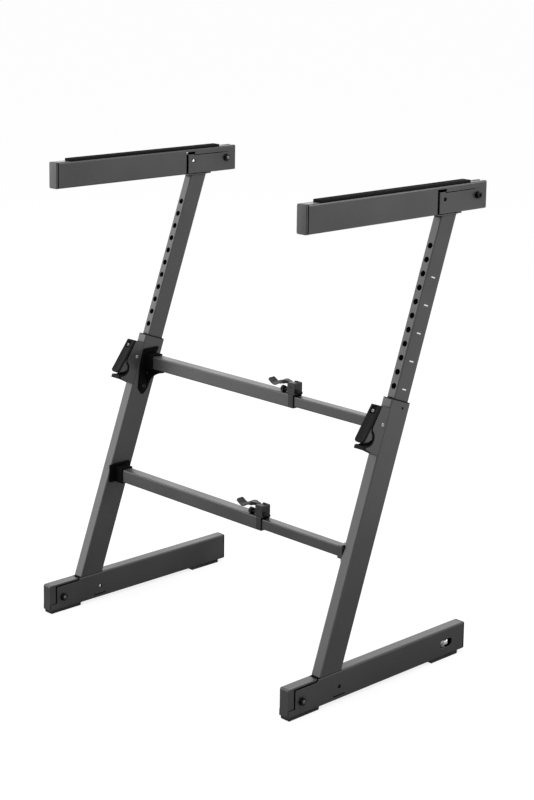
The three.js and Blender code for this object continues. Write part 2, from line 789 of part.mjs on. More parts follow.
function armBracketSolid() {
  const tongueFront = innerFront + inner.wall + tongueGap;
  const tongueRear = innerRear - inner.wall - tongueGap;
  const tongueHalf = innerInside - tongueGap;
  const tongueEnd = alongAt(tongueFront, plateBottom) - armBracket.tongueLength;
  const tongue = extrude(outline([
    onSlope(tongueFront, tongueEnd),
    onSlope(tongueRear, tongueEnd),
    [frontAt(tongueRear, plateTop), plateTop],
    [frontAt(tongueFront, plateTop), plateTop],
  ]), 'x', -tongueHalf, tongueHalf);
  const plateFrom = frontAt(innerFront, plateBottom) - armBracket.plateAhead;
  const plateTo = frontAt(innerRear, plateTop);
  const [bodyFrom, bodyTo] = [plateFrom + armBracket.bodyInset, plateTo + armBracket.bodyCorner];
  const bodyTop = arm.bottom + armBracket.bodyRise;
  const body = extrude(outline([
    [bodyFrom, plateBottom],
    [bodyTo, plateBottom],
    [bodyTo, bodyTop],
    [bodyFrom, bodyTop, armBracket.bodyCorner],
  ]), 'x', -armBracketHalf, armBracketHalf, 4);
  const sweep = rod('x', armPivot, armBracket.bodyClear, -arm.width, arm.width, 24);
  const link = extrude(outline(link_shares.map(([a, b]) => [
    armPivot[0] + a * armBracket.hubRadius,
    armPivot[1] + b * armBracket.hubRadius,
  ])), 'x', -armBracket.link / 2, armBracket.link / 2);
  const saddle = block(across(arm.width / 2), [plateFrom, plateTo], [plateBottom, plateTop]);
  return cut(
    union(
      cut(body, sweep), tongue, saddle, link,
      rod('x', armPivot, armBracket.hubRadius, -armBracketHalf, armBracketHalf),
    ),
    rod('x', armPivot, bolt.radius + pinGap, -arm.width, arm.width),
    rod('x', armLock, button.radius + pinGap, -arm.width, arm.width),
  );
}

function rubberStrip() {
  const low = armTop + seatGap;
  const high = low + strip.thickness;
  const half = strip.width / 2;
  return extrude(outline([
    [-half, low],
    [half, low],
    [half, high - strip.chamfer],
    [half - strip.chamfer, high],
    [-half + strip.chamfer, high],
    [-half, high - strip.chamfer],
  ]), 'y', armFront + strip.fromFront, armRear - strip.fromRear);
}

// Crossbars, about the bar's centre line

function crossbar(width, height, corner, from, to) {
  return extrude(tubeSection(width, height, corner, bar.wall), 'x', from, to);
}

// A crossbar's end bracket on the left (side -1) or right (side 1) upright's inner face.
function endBracket(side, width, height, flangePoints) {
  const reach = (a, b) => [side * (faceX - a), side * (faceX - b)].sort((p, q) => p - q);
  const opening = [width + 2 * seatGap, height + 2 * seatGap];
  const ring = tubeSection(
    opening[0] + 2 * socket.wall, opening[1] + 2 * socket.wall, bar.corner, socket.wall,
  );
  return union(
    extrude(outline(flangePoints), 'x', ...reach(0, socket.flange), 3),
    extrude(ring, 'x', ...reach(socket.flange / 2, socket.length)),
  );
}

function upperBracket(side, width, height) {
  const points = gusset_shares.map(([a, b, round]) => (
    [a * gusset.width, b * gusset.drop, round * gusset.width / 2]
  ));
  const ringBottom = -height / 2 - seatGap - socket.wall / 2;
  const webFoot = -gusset.drop * web_foot_share;
  const [wall, tip] = [side * (faceX - socket.flange / 2), side * (faceX - gusset.webReach)];
  const bow = [wall + (tip - wall) * web_bow_share, ringBottom + (webFoot - ringBottom) * web_bow_share];
  const web = new THREE.Shape();
  web.moveTo(wall, ringBottom);
  web.lineTo(tip, ringBottom);
  web.lineTo(tip, ringBottom - socket.wall);
  web.quadraticCurveTo(bow[0], bow[1], wall, webFoot);
  web.closePath();
  const boltSpan = [wall, side * (faceX - socket.flange - gusset.boltHeight)].sort((p, q) => p - q);
  const bolts = gusset_bolt_shares.map(([a, b]) => (
    rod('x', [a * gusset.width, b * gusset.drop], gusset.boltRadius, ...boltSpan, 6)
  ));
  return union(
    endBracket(side, width, height, points),
    extrude(web, 'y', -gusset.webFromCentre, gusset.webThickness - gusset.webFromCentre, 6),
    ...bolts,
  );
}

function lowerBracket(side, width, height) {
  const [half, low] = [lowBracket.width / 2, -bar.height / 2 - seatGap - socket.wall];
  return endBracket(side, width, height, [
    [-half, low, lowBracket.corner],
    [half, low, lowBracket.corner],
    [half, lowBracket.rise, lowBracket.corner],
    [-half, lowBracket.rise, lowBracket.corner],
  ]);
}

const clampFront = -bar.width / 2;
const clampPivot = [clamp.pivotAt, barTop + clamp.pivotHeight];
const screwAxis = [clampFront + clampScrew.fromFront, barTop + clampScrew.height];

function clampHead() {
  const clampRear = clampFront + clamp.depth;
  const top = barTop + clamp.height;
  const blockOutline = outline([
    [clamp.from, barTop + seatGap],
    [clamp.to, barTop + seatGap],
    [clamp.to, top, clamp.corner],
    [clamp.from, top, clamp.corner],
  ]);
  const collarFrom = bar.outerEnd + seatGap;
  const collar = outline(rectangle(bar.width, bar.height, bar.corner));
  const openWidth = bar.innerWidth + 2 * clamp.collarGap;
  const openHeight = bar.innerHeight + 2 * clamp.collarGap;
  const opening = rectangle(openWidth, openHeight, bar.innerCorner);
  collar.holes.push(outline(opening, THREE.Path));
  const slotBottom = clampPivot[1] - clamp.hubRadius - clamp.collarGap;
  const bridgeDepths = [clampFront + bar.corner, clampRear];
  const bridgeHeights = [barTop - bar.wall, barTop + bar.wall];
  return cut(
    union(
      extrude(blockOutline, 'y', clampFront, clampRear, 3),
      extrude(collar, 'x', collarFrom, clamp.collarTo),
      block([collarFrom, clamp.collarTo], bridgeDepths, bridgeHeights),
    ),
    block(
      [clamp.from - overrun, clamp.pivotAt + clamp.hubRadius + bar.wall],
      [clampFront + clamp.slotFrom, clampFront + clamp.slotTo],
      [slotBottom, top + overrun],
    ),
    rod('x', screwAxis, clampScrew.radius + seatGap, clamp.from - overrun, clamp.to + overrun),
    rod('y', clampPivot, clamp.pinRadius + pinGap, clampFront - overrun, clampRear + overrun),
  );
}

// The clamp's lever, drawn about its pivot and reaching towards the left frame.
function clampLever() {
  const knees = [
    [-wing.elbow, wing.elbowHeight],
    [-wing.dip, wing.dipHeight],
    [-wing.tip, wing.tipHeight],
  ].map(([x, height]) => [x, height - clamp.pivotHeight]);
  const raise = (points, by) => points.map(([x, z]) => [x, z + by]);
  const stripOutline = (points, low, high) => (
    outline([...raise(points, high), ...raise(points, low).reverse()])
  );
  const halfThick = wing.thickness / 2;
  const wingFrom = [(knees[0][0] + knees[1][0]) / 2, (knees[0][1] + knees[1][1]) / 2];
  const wingLine = [wingFrom, knees[1], knees[2]];
  const stem = stripOutline([[0, 0], ...knees], -halfThick, halfThick);
  const [near, far] = [clampFront + clamp.slotFrom + seatGap, clampFront + clamp.slotTo - seatGap];
  const rims = [-wing.width / 2, wing.width / 2 - wing.rim].map((edge) => (
    extrude(stripOutline(wingLine, 0, halfThick + wing.rimHeight), 'y', edge, edge + wing.rim)
  ));
  return union(
    extrude(stem, 'y', near, far),
    rod('y', [0, 0], clamp.hubRadius, near, far),
    extrude(stripOutline(wingLine, -halfThick, halfThick), 'y', -wing.width / 2, wing.width / 2),
    ...rims,
    rod('y', [0, 0], clamp.pinRadius, clampFront + seatGap, clampFront + clamp.depth - seatGap, 8),
  );
}

function clampScrewSolid() {
  const { nutFrom, nut, nutRadius } = clampScrew;
  return union(
    rod('x', screwAxis, clampScrew.radius, nutFrom, clampScrew.to),
    extrude(outline(regular(screwAxis, nutRadius, 6)), 'x', nutFrom, nutFrom + nut),
  );
}

// Assembly

function sideFrame(name, side) {
  const level = new THREE.Group();
  level.position.set(side * frameSpacing / 2, originY, pad.thickness);
  const leaning = new THREE.Group();
  leaning.rotation.x = -lean;
  const leverAxis = new THREE.Group();
  leverAxis.position.set(0, ...leverPivot);
  leverAxis.rotation.x = -lever.lean;
  level.add(leaning);
  leaning.add(leverAxis);

  const isRight = side > 0;
  const footMiddle = foot.height / 2;
  const armMiddle = arm.bottom + arm.height / 2;
  const rearPad = isRight ? levellingPad() : padSolid(pad.rearFrom, pad.rearTo, padHalf);
  place(level, `${name}_foot_tube`, footTube(isRight), powderCoat);
  place(level, `${name}_foot_hinge_bracket`, footBracketSolid(), powderCoat);
  place(level, `${name}_foot_rear_cap`, endCap(foot, rearCap, foot.length, -1, footMiddle), plastic);
  place(level, `${name}_foot_front_pad`, padSolid(pad.frontFrom, pad.frontTo, footBracketHalf), rubber);
  place(level, `${name}_foot_rear_pad`, rearPad, rubber);
  place(level, `${name}_foot_pivot_bolt`, foldBolt(footPivot, foot.width / 2, -1, false), darkSteel);
  place(level, `${name}_foot_lock_button`, lockButton(footLock, footBracketHalf, -side), plated);
  if (isRight) place(level, `${name}_levelling_wheel`, levellingWheel(), plated);

  place(leaning, `${name}_outer_upright`, outerUpright(side), powderCoat);
  place(leaning, `${name}_guide_sleeve`, guideSleeve(), plastic);
  place(leaning, `${name}_inner_upright`, innerUpright(), powderCoat);
  place(leaning, `${name}_lock_housing`, lockHousing(), powderCoat);
  place(leaning, `${name}_finger_rest`, fingerRestSolid(), plastic);
  place(leaning, `${name}_detent_pin`, detentPin(), plated);
  place(leaning, `${name}_lever_pin`, leverPinSolid(), plated);
  place(leverAxis, `${name}_lock_lever`, lockLever(), powderCoat);
  place(leverAxis, `${name}_hand_pad`, handPadSolid(), plastic);

  place(level, `${name}_arm_hinge_bracket`, armBracketSolid(), powderCoat);
  place(level, `${name}_arm_tube`, armTube(), powderCoat);
  place(level, `${name}_arm_front_cap`, endCap(arm, frontCap, armFront, 1, armMiddle), plastic);
  place(level, `${name}_arm_rubber_strip`, rubberStrip(), rubber);
  place(level, `${name}_arm_pivot_bolt`, foldBolt(armPivot, arm.width / 2, side, true), darkSteel);
  place(level, `${name}_arm_lock_button`, lockButton(armLock, armBracketHalf, -side), plated);
  return level;
}

function crossbarUnit(name, height, bracket) {
  const unit = new THREE.Group();
  unit.position.set(0, originY + frontAt(outerMiddle, height), pad.thickness + height);
  const leverAxis = new THREE.Group();
  leverAxis.position.set(clampPivot[0], 0, clampPivot[1]);
  unit.add(leverAxis);

  const barEnd = faceX - socket.flange - seatGap;
  const { innerWidth, innerHeight, innerCorner } = bar;
  const outerBar = crossbar(bar.width, bar.height, bar.corner, -barEnd, bar.outerEnd);
  const innerBar = crossbar(innerWidth, innerHeight, innerCorner, barEnd - bar.innerLength, barEnd);
  place(unit, `${name}_outer_bar`, outerBar, powderCoat);
  place(unit, `${name}_inner_bar`, innerBar, powderCoat);
  place(unit, `${name}_left_bracket`, bracket(-1, bar.width, bar.height), blackPaint);
  place(unit, `${name}_right_bracket`, bracket(1, innerWidth, innerHeight), powderCoat);
  place(unit, `${name}_clamp_head`, clampHead(), blackPaint);
  place(unit, `${name}_clamp_screw`, clampScrewSolid(), darkSteel);
  place(leverAxis, `${name}_clamp_lever`, clampLever(), plastic);
  return unit;
}

const stand = new THREE.Group();
stand.add(sideFrame('left', -1));
stand.add(sideFrame('right', 1));
stand.add(crossbarUnit('upper', barHeights.upper, upperBracket));
stand.add(crossbarUnit('lower', barHeights.lower, lowerBracket));

export default stand;
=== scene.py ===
"""Looks of a height-adjustable keyboard stand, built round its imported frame.

The file is laid out as an add-on and is run as a script. Places are in metres in the row frame: X runs
along the crossbars, +Y points to the rear and +Z up. Rows of profiles are in millimetres.
"""

import json
import math

import bpy
import numpy as np
from mathutils import Matrix, Vector


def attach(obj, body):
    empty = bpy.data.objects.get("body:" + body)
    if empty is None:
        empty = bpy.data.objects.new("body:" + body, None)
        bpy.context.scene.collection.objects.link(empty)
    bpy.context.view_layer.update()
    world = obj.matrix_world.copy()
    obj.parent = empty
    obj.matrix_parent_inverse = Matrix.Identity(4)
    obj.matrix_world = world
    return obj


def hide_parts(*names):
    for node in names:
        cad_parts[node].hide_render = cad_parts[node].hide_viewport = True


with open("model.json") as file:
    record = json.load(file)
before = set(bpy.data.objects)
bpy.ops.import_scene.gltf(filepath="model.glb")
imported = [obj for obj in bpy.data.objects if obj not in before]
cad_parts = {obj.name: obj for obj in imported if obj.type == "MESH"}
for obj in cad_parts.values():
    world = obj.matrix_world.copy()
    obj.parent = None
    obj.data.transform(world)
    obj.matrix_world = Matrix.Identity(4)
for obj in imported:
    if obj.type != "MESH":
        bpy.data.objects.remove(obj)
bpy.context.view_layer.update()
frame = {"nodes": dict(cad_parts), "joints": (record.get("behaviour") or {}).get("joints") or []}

bl_info = {
    "name": "Keyboard stand looks",
    "version": (1, 0, 0),
    "blender": (4, 5, 0),
    "location": "View3D > Sidebar > Stand",
    "description": "Finishes and detail pieces for a height-adjustable keyboard stand",
    "category": "Object",
}

MM, HAIR = 0.001, 1e-6
SIDES = {"left": -1, "right": 1}
BARS = ("upper", "lower")
JOINTS = {joint["name"]: joint for joint in frame["joints"]}
LEAN = math.atan2(*JOINTS["left_height_slide"]["axis"][1:])
LEVER_LEAN = math.radians(16.94)  # of the hand pads, beyond the uprights' own
SHARP_ANGLE = math.radians(38)


def leaning(origin, tilt):
    """A frame at origin: its second axis points back across a slope and its third runs up the slope."""
    sin, cos = math.sin(tilt), math.cos(tilt)
    return np.array([[1, 0, 0, origin[0]], [0, cos, sin, origin[1]], [0, -sin, cos, origin[2]]])


def joint_place(name):
    """Where a hinge's axis passes, in the row frame."""
    return np.array(JOINTS[name]["pos_m"])


def reach(node, place):
    """The lowest and highest corners of a carried-over node, measured in a frame."""
    mesh = frame["nodes"][node].data
    points = np.empty(len(mesh.vertices) * 3, np.float32)
    mesh.vertices.foreach_get("co", points)
    local = (points.reshape(-1, 3) - place[:, 3]) @ place[:, :3]
    return local.min(0), local.max(0)


ROW = leaning((0, 0, 0), 0)
SLOPES = {side: leaning(joint_place(f"{side}_lever_squeeze"), LEAN) for side in SIDES}
LEVERS = {side: leaning(joint_place(f"{side}_lever_squeeze"), LEAN + LEVER_LEAN) for side in SIDES}


# Surfaces. A shell is an array of points and a list of faces that point outwards.


def outward(points, faces, triangles):
    """A shell's faces, turned round if the volume summed over its triangles comes out negative."""
    a, b, c = (points[triangles[:, i]] for i in range(3))
    volume = np.einsum("ij,ij->", a, np.cross(b, c))
    return points, [face[::-1] for face in faces] if volume < 0 else faces


def shell(rings, looped=False):
    """A closed surface through rings[r, n]: each point joins the next in its ring and in the next ring.

    The first and last ring get one face each, or join each other if looped.
    """
    rows, count = rings.shape[:2]
    points = rings.reshape(-1, 3)
    index = np.arange(rows * count).reshape(rows, count)
    lower = index if looped else index[:-1]
    upper = np.roll(index, -1, axis=0) if looped else index[1:]
    quads = np.stack([lower, np.roll(lower, -1, 1), np.roll(upper, -1, 1), upper], -1).reshape(-1, 4)
    faces = quads.tolist()
    fans = [quads[:, :3], quads[:, [0, 2, 3]]]
    if not looped:
        for ring in (index[0][::-1], index[-1]):
            faces.append(ring.tolist())
            fans.append(np.stack([np.full(count - 2, ring[0]), ring[1:-1], ring[2:]], -1))
    return outward(points, faces, np.concatenate(fans))


def plate(front, back, kept):
    """A plate between two grids of points. A cell is left open where kept is false, and walls from
    the front grid to the back grid close every edge between a kept cell and an open one."""
    rows, columns = front.shape[:2]
    points = np.concatenate([front.reshape(-1, 3), back.reshape(-1, 3)])
    f = np.arange(rows * columns).reshape(rows, columns)
    b = f + rows * columns
    cells = np.stack([f[:-1, :-1], f[:-1, 1:], f[1:, 1:], f[1:, :-1]], -1)[kept]
    padded = np.pad(kept, 1)
    left, right = padded[1:-1, :-1], padded[1:-1, 1:]
    above, below = padded[:-1, 1:-1], padded[1:, 1:-1]
    upright = np.stack([f[1:], f[:-1], b[:-1], b[1:]], -1)
    level = np.stack([f[:, 1:], f[:, :-1], b[:, :-1], b[:, 1:]], -1)
    quads = np.concatenate([
        cells,
        (cells + rows * columns)[:, ::-1],
        upright[left & ~right],
        upright[right & ~left][:, ::-1],
        level[below & ~above],
        level[above & ~below][:, ::-1],
    ])
    return outward(points, quads.tolist(), np.concatenate([quads[:, :3], quads[:, [0, 2, 3]]]))


def rounded(half_a, half_b, radius, steps=6):
    """Rings round rectangles with quarter-circle corners, one ring for each entry of the sizes."""
    turn = np.linspace(0, math.pi / 2, steps) + np.arange(4)[:, None] * math.pi / 2
    sign = np.array([[1, 1], [-1, 1], [-1, -1], [1, -1]])[:, None, :]
    half_a, half_b, radius = (np.atleast_1d(v)[:, None, None] for v in (half_a, half_b, radius))
    a = sign[..., 0] * (half_a - radius) + radius * np.cos(turn)
    b = sign[..., 1] * (half_b - radius) + radius * np.sin(turn)
    return np.stack([a, b], -1).reshape(len(half_a), -1, 2)


def eased_ends(start, end, edge, steps=5):
    """Stations from start to end and how far each ring lies in, for ends eased by a quarter circle."""
    turn = np.linspace(0, math.pi / 2, steps)
    out, inset = edge * (1 - np.cos(turn)), edge * (1 - np.sin(turn))
    return np.concatenate([start + out, (end - out)[::-1]]), np.concatenate([inset, inset[::-1]])


def along_y(section, stations, centre):
    """Rings of (x, z) pairs set at stations along Y, about a centre."""
    y = np.broadcast_to(np.asarray(stations)[:, None], section.shape[:2])
    return np.stack([section[..., 0] + centre[0], y, section[..., 1] + centre[1]], -1)


def turned(profile, centre, axis, side=1, flats=None, count=48, teeth=None, looped=False):
    """A surface turned about an axis through centre: ring r lies profile[r, 0] out and has radius
    profile[r, 1]. A ring with flats stays within a hexagon of that inner radius, and teeth
    (number, depth) press in rings by depth times half of one minus the cosine of number turns."""
    profile = np.asarray(profile, float)
    angle = np.linspace(0, 2 * math.pi, count, endpoint=False)
    radius = np.repeat(profile[:, 1:], count, axis=1)
    if flats is not None:
        hexagon = 1 / np.cos((angle + math.pi / 6) % (math.pi / 3) - math.pi / 6)
        radius = np.minimum(radius, np.asarray(flats)[:, None] * hexagon)
    if teeth is not None:
        number, depth = teeth
        radius = radius - depth[:, None] * (1 - np.cos(number * angle)) / 2
    along = np.repeat(profile[:, :1], count, axis=1) * side
    first, second = radius * np.cos(angle), radius * np.sin(angle)
    order = {"x": (along, first, second), "y": (first, along, second), "z": (first, second, along)}
    return shell(np.stack(order[axis], -1) + np.asarray(centre), looped)


def lathed(rows, centre, axis, side=1, count=48):
    """A turned surface from rows of (out, radius) or (out, radius, hexagon's inner radius) in
    millimetres."""
    flats = [row[2] if len(row) > 2 else 2 * row[1] for row in rows]
    profile = np.array([row[:2] for row in rows]) * MM
    return turned(profile, centre, axis, side, np.array(flats) * MM, count)


def thread(start, end, radius, pitch, depth):
    """Rows of a threaded rod: the radius falls by depth and rises again in every pitch."""
    turns = max(1, round((end - start) / pitch))
    out = np.linspace(start, end, 4 * turns + 1)
    fall = np.array([0, depth, depth, 0])
    return [(o, radius - fall[i % 4]) for i, o in enumerate(out)]


def carried(path, across, out):
    """A section carried along a path in a plane y = constant: ring r holds points at path[r], shifted
    by across[r, n] along Y and by out[r, n] square to the path."""
    run = np.gradient(path, axis=0)
    run /= np.linalg.norm(run[:, [0, 2]], axis=1, keepdims=True)
    square = np.stack([-run[:, 2], np.zeros(len(path)), run[:, 0]], -1)
    rings = path[:, None, :] + out[..., None] * square[:, None, :]
    rings[..., 1] += across
    return shell(rings)


def smooth_step(value, start, end):
    """Rises from 0 at start to 1 at end along 3t^2 - 2t^3."""
    t = np.clip((value - start) / (end - start), 0, 1)
    return t * t * (3 - 2 * t)


def link(name, data):
    """An object in the scene for a mesh, a lamp or a camera."""
    made = bpy.data.objects.new(name, data)
    bpy.context.scene.collection.objects.link(made)
    return made


def piece(name, shells, place, finish, body, slot, *replaced, second=None):
    """Joins shells in one mesh in the row frame, sets its finish and its body, and hides the nodes it stands
    for.
    With a second finish, the last shell gets it."""
    points, faces, base = [], [], 0
    for shell_points, shell_faces in shells:
        points.append(shell_points @ place[:, :3].T + place[:, 3])
        faces += [[base + i for i in face] for face in shell_faces]
        base += len(shell_points)
    mesh = bpy.data.meshes.new(name)
    mesh.from_pydata(np.concatenate(points).tolist(), [], faces)
    mesh.polygons.foreach_set("use_smooth", np.ones(len(mesh.polygons), bool))
    mesh.set_sharp_from_angle(angle=SHARP_ANGLE)
    mesh.materials.append(finish_of(finish))
    if second is not None:
        mesh.materials.append(finish_of(second))
        index = np.zeros(len(faces), np.int32)
        index[-len(shells[-1][1]):] = 1
        mesh.polygons.foreach_set("material_index", index)
    made = link(name, mesh)
    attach(made, body)
    if replaced:
        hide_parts(*replaced)


def dress(material, *nodes):
    """Puts a material on carried-over nodes."""
    for node in nodes:
        for holder in frame["nodes"][node].material_slots:
            holder.material = material


def both(*names):
    """The names with each side's prefix."""
    return [f"{side}_{name}" for side in SIDES for name in names]


# Materials

# The matt black tone of painted shade, and the white of the height marks.
PAINTED_SHADE_TONE, MARK_TONE = 0.0015, 0.5


def arithmetic(operation, swapped=False):
    """A method that adds a Math node on a socket and another value, or on both swapped."""
    def method(self, other):
        first, second = (other, self) if swapped else (self, other)
        return self.graph.node("Math", {"operation": operation}, {0: first, 1: second})
    return method


class Socket:
    """An output of a shader node. Arithmetic on it adds Math nodes."""

    def __init__(self, graph, output):
        self.graph, self.output = graph, output

    __add__, __radd__ = arithmetic("ADD"), arithmetic("ADD", True)
    __sub__, __rsub__ = arithmetic("SUBTRACT"), arithmetic("SUBTRACT", True)
    __mul__, __rmul__ = arithmetic("MULTIPLY"), arithmetic("MULTIPLY", True)
    __mod__, __rmod__ = arithmetic("FLOORED_MODULO"), arithmetic("FLOORED_MODULO", True)
    __or__, __ror__ = arithmetic("MAXIMUM"), arithmetic("MAXIMUM", True)
    __gt__, __lt__ = arithmetic("GREATER_THAN"), arithmetic("LESS_THAN")


class Graph:
    """The nodes of one material or of the world."""

    def __init__(self, owner):
        owner.use_nodes = True
        self.owner, self.tree = owner, owner.node_tree
        self.tree.nodes.clear()

    def node(self, kind, settings, sockets, output=0):
        """Adds a node, its settings first, then a value or a link for each socket, and gives one output."""
        made = self.tree.nodes.new("ShaderNode" + kind)
        for name, value in settings.items():
            setattr(made, name, value)
        for key, value in sockets.items():
            if isinstance(value, Socket):
                self.tree.links.new(value.output, made.inputs[key])
            else:
                made.inputs[key].default_value = value
        return Socket(self, made.outputs[output])

    def noise(self, place, scale, detail=3.0, stretch=(1, 1, 1)):
        """Noise of one scale per metre, from 0 to 1, drawn out where stretch is below 1."""
        drawn = self.node("Mapping", {}, {"Vector": place, "Scale": stretch})
        return self.node("TexNoise", {}, {"Vector": drawn, "Scale": scale, "Detail": detail})

    def spread(self, value, low, high, to_low=0.0, to_high=1.0):
        """A value carried smoothly from one range to another, and held at its ends."""
        sockets = {0: value, 1: low, 2: high, 3: to_low, 4: to_high}
        return self.node("MapRange", {"interpolation_type": "SMOOTHSTEP"}, sockets)

    def colours(self, mask, first, second):
        """The first colour where the mask is 0, the second where it is 1."""
        return self.node("Mix", {"data_type": "RGBA"}, {0: mask, 6: first, 7: second}, 2)

    def axes(self, place, start, names="XYZ"):
        """Distances from a start to a place, along the named axes."""
        return [self.node("SeparateXYZ", {}, {0: place}, name) - float(start["XYZ".index(name)])
                for name in names]

    def edges(self, radius):
        """A normal rounded over edges, and a mask that is 1 on them, for paler edges that are partly wear and
        partly painted highlight.
        """
        normal = self.node("Bevel", {"samples": 6}, {"Radius": radius})
        flat = self.node("NewGeometry", {}, {}, "Normal")
        along = self.node("VectorMath", {"operation": "DOT_PRODUCT"}, {0: normal, 1: flat}, "Value")
        return normal, self.spread(1 - along, 0.02, 0.22)

    def crevice_shade(self, distance):
        """A mask of painted shade that is 1 where other surfaces stand close by, as in seams and holes."""
        open_share = self.node("AmbientOcclusion", {"samples": 8}, {"Distance": distance}, "AO")
        return self.spread(1 - open_share, 0.14, 0.6)

    def rays(self, kind):
        """A mask that is 1 for one kind of ray."""
        return self.node("LightPath", {}, {}, f"Is {kind} Ray")

    def bump(self, height, distance, strength, normal=None):
        """A normal tilted by a height, on top of another normal if there is one."""
        sockets = {"Height": height, "Distance": distance, "Strength": strength}
        if normal is not None:
            sockets["Normal"] = normal
        return self.node("Bump", {}, sockets)

    def finish(self, painted_shade, **sockets):
        """The material, from a Principled shader, with a matt black of painted shade where the shade mask is
        1.
        """
        named = {key.replace("_", " "): value for key, value in sockets.items()}
        shown = self.node("BsdfPrincipled", {}, named)
        black = self.node("BsdfDiffuse", {}, {"Color": grey(PAINTED_SHADE_TONE)})
        self.surface(self.node("MixShader", {}, {0: painted_shade, 1: shown, 2: black}))
        return self.owner

    def surface(self, shader, kind="OutputMaterial"):
        """Ends the graph in its output."""
        made = self.tree.nodes.new("ShaderNode" + kind)
        self.tree.links.new(shader.output, made.inputs["Surface"])


def rgba(colour, share=1.0):
    """A colour with full alpha, made lighter or darker by a share."""
    return tuple(min(1.0, c * share) for c in colour) + (1.0,)


def grey(tone):
    """A grey with full alpha."""
    return tone, tone, tone, 1.0


def new_material(name):
    """A new material's graph, and its object coordinates, which move with a piece."""
    graph = Graph(bpy.data.materials.new(name))
    return graph, graph.node("TexCoord", {}, {}, "Object")


def coated_steel(name, colour, roughness, marks=None, shadow=None, seam=7 * MM):
    """Fine-texture powder coat: a pebbled bump under a millimetre, slow drifts of tone, paler edges that are
    partly wear and partly painted highlight, and painted shade in crevices. Two functions may give masks: one
    of white marks, one of painted shade."""
    graph, place = new_material(name)
    drift, pebble = graph.noise(place, 7, 4), graph.noise(place, 900, 2)
    normal, edge = graph.edges(1.4 * MM)
    tone = graph.colours(graph.spread(drift, 0.3, 0.7), rgba(colour, 0.86), rgba(colour, 1.14))
    tone = graph.colours(graph.spread(pebble, 0.45, 0.75) * 0.35, tone, rgba(colour, 1.9))
    tone = graph.colours(edge * 0.4, tone, rgba(colour, 2.4))
    painted_shade = graph.crevice_shade(seam)
    if marks is not None:
        tone = graph.colours(marks(graph, place), tone, grey(MARK_TONE))
    if shadow is not None:
        painted_shade = painted_shade | shadow(graph, place)
    return graph.finish(
        painted_shade, Base_Color=tone, Specular_IOR_Level=0.5,
        Roughness=graph.spread(drift * 0.6 + pebble * 0.4, 0.3, 0.7, roughness - 0.05, roughness + 0.07),
        Normal=graph.bump(pebble, 0.05 * MM, 0.25, normal),
    )


def painted_steel(name, colour, roughness, gloss):
    """Smooth dark paint over pressed steel: faint orange peel, a little dust, thin paler edges that are
    partly rubbed wear and partly painted highlight, and painted shade in crevices.
    """
    graph, place = new_material(name)
    peel, dust = graph.noise(place, 260, 2), graph.noise(place, 38, 5)
    normal, edge = graph.edges(1.0 * MM)
    tone = graph.colours(graph.spread(dust, 0.5, 0.8) * 0.5, rgba(colour), rgba(colour, 2.2))
    return graph.finish(
        graph.crevice_shade(6 * MM), Base_Color=graph.colours(edge * 0.4, tone, rgba(colour, 5.0)),
        Roughness=graph.spread(dust, 0.3, 0.7, roughness - 0.06, roughness + 0.08),
        Specular_IOR_Level=gloss, Normal=graph.bump(peel, 0.05 * MM, 0.35, normal),
    )


def moulded_plastic(name, colour, roughness, gloss):
    """Moulded plastic: spark-eroded grain, slight cloudiness, edges polished by hands and paler partly from
    wear and partly as painted highlight, and painted shade in crevices.
    """
    graph, place = new_material(name)
    grain, cloud = graph.noise(place, 1500, 2), graph.noise(place, 22, 3)
    normal, edge = graph.edges(0.5 * MM)
    tone = graph.colours(graph.spread(cloud, 0.3, 0.7), rgba(colour, 0.85), rgba(colour, 1.2))
    return graph.finish(
        graph.crevice_shade(4 * MM), Base_Color=graph.colours(edge * 0.3, tone, rgba(colour, 2.6)),
        Roughness=graph.spread(cloud + edge * -0.3, 0.2, 0.8, roughness - 0.08, roughness + 0.06),
        Specular_IOR_Level=gloss, Normal=graph.bump(grain, 0.04 * MM, 0.5, normal),
    )


def black_rubber(name, colour, roughness):
    """Matt rubber: soft pits, pale bloom and dust in patches, and painted shade in crevices."""
    graph, place = new_material(name)
    pits, bloom = graph.noise(place, 700, 3), graph.noise(place, 30, 6, (1, 0.35, 1))
    return graph.finish(
        graph.crevice_shade(3 * MM),
        Base_Color=graph.colours(graph.spread(bloom, 0.52, 0.85) * 0.6, rgba(colour), rgba(colour, 2.6)),
        Roughness=graph.spread(bloom, 0.3, 0.8, roughness - 0.08, roughness + 0.06),
        Specular_IOR_Level=0.08, Normal=graph.bump(pits, 0.08 * MM, 0.6),
    )


def bare_metal(name, colour, roughness, stain):
    """Plated or blackened steel: fine tool marks, darker stains that are rougher, and painted shade in
    crevices.
    """
    graph, place = new_material(name)
    marks, stains = graph.noise(place, 500, 2, (1, 0.2, 0.2)), graph.noise(place, 120, 5)
    mask = graph.spread(stains, 0.48, 0.75) * stain
    return graph.finish(
        graph.crevice_shade(1 * MM), Base_Color=graph.colours(mask, rgba(colour), rgba(colour, 0.35)),
        Metallic=1.0, Roughness=mask * 0.25 + (marks * 0.1 + (roughness - 0.05)),
        Normal=graph.bump(marks, 0.02 * MM, 0.4),
    )


# Masks of the white marks, and of the painted shade at hole rims, seams, slits and gaps on the coated steel.
# Their lengths are in millimetres.

FOOT_PIVOT = np.array([0, 34.5, 25.5]) * MM  # from a foot's front end and underside
FIRST_HOLE, LAST_HOLE, HOLE_PITCH, RIM_SHADE_RADIUS = 21.5, 350.9, 27.45, 5.8
FIRST_MARK, MARK_PITCH, MARKS = 74.6, 54.95, 5
SEAM_SHADE_REACH = 1.4


def between(value, start, end):
    """A mask that is 1 where a length is between two."""
    return (value > start * MM) * (value < end * MM)


def from_nearest(value, first, pitch):
    """How far a length is past the nearest of an endless row of stations, one of which is first."""
    return (value - (first - pitch / 2) * MM) % (pitch * MM) - pitch / 2 * MM


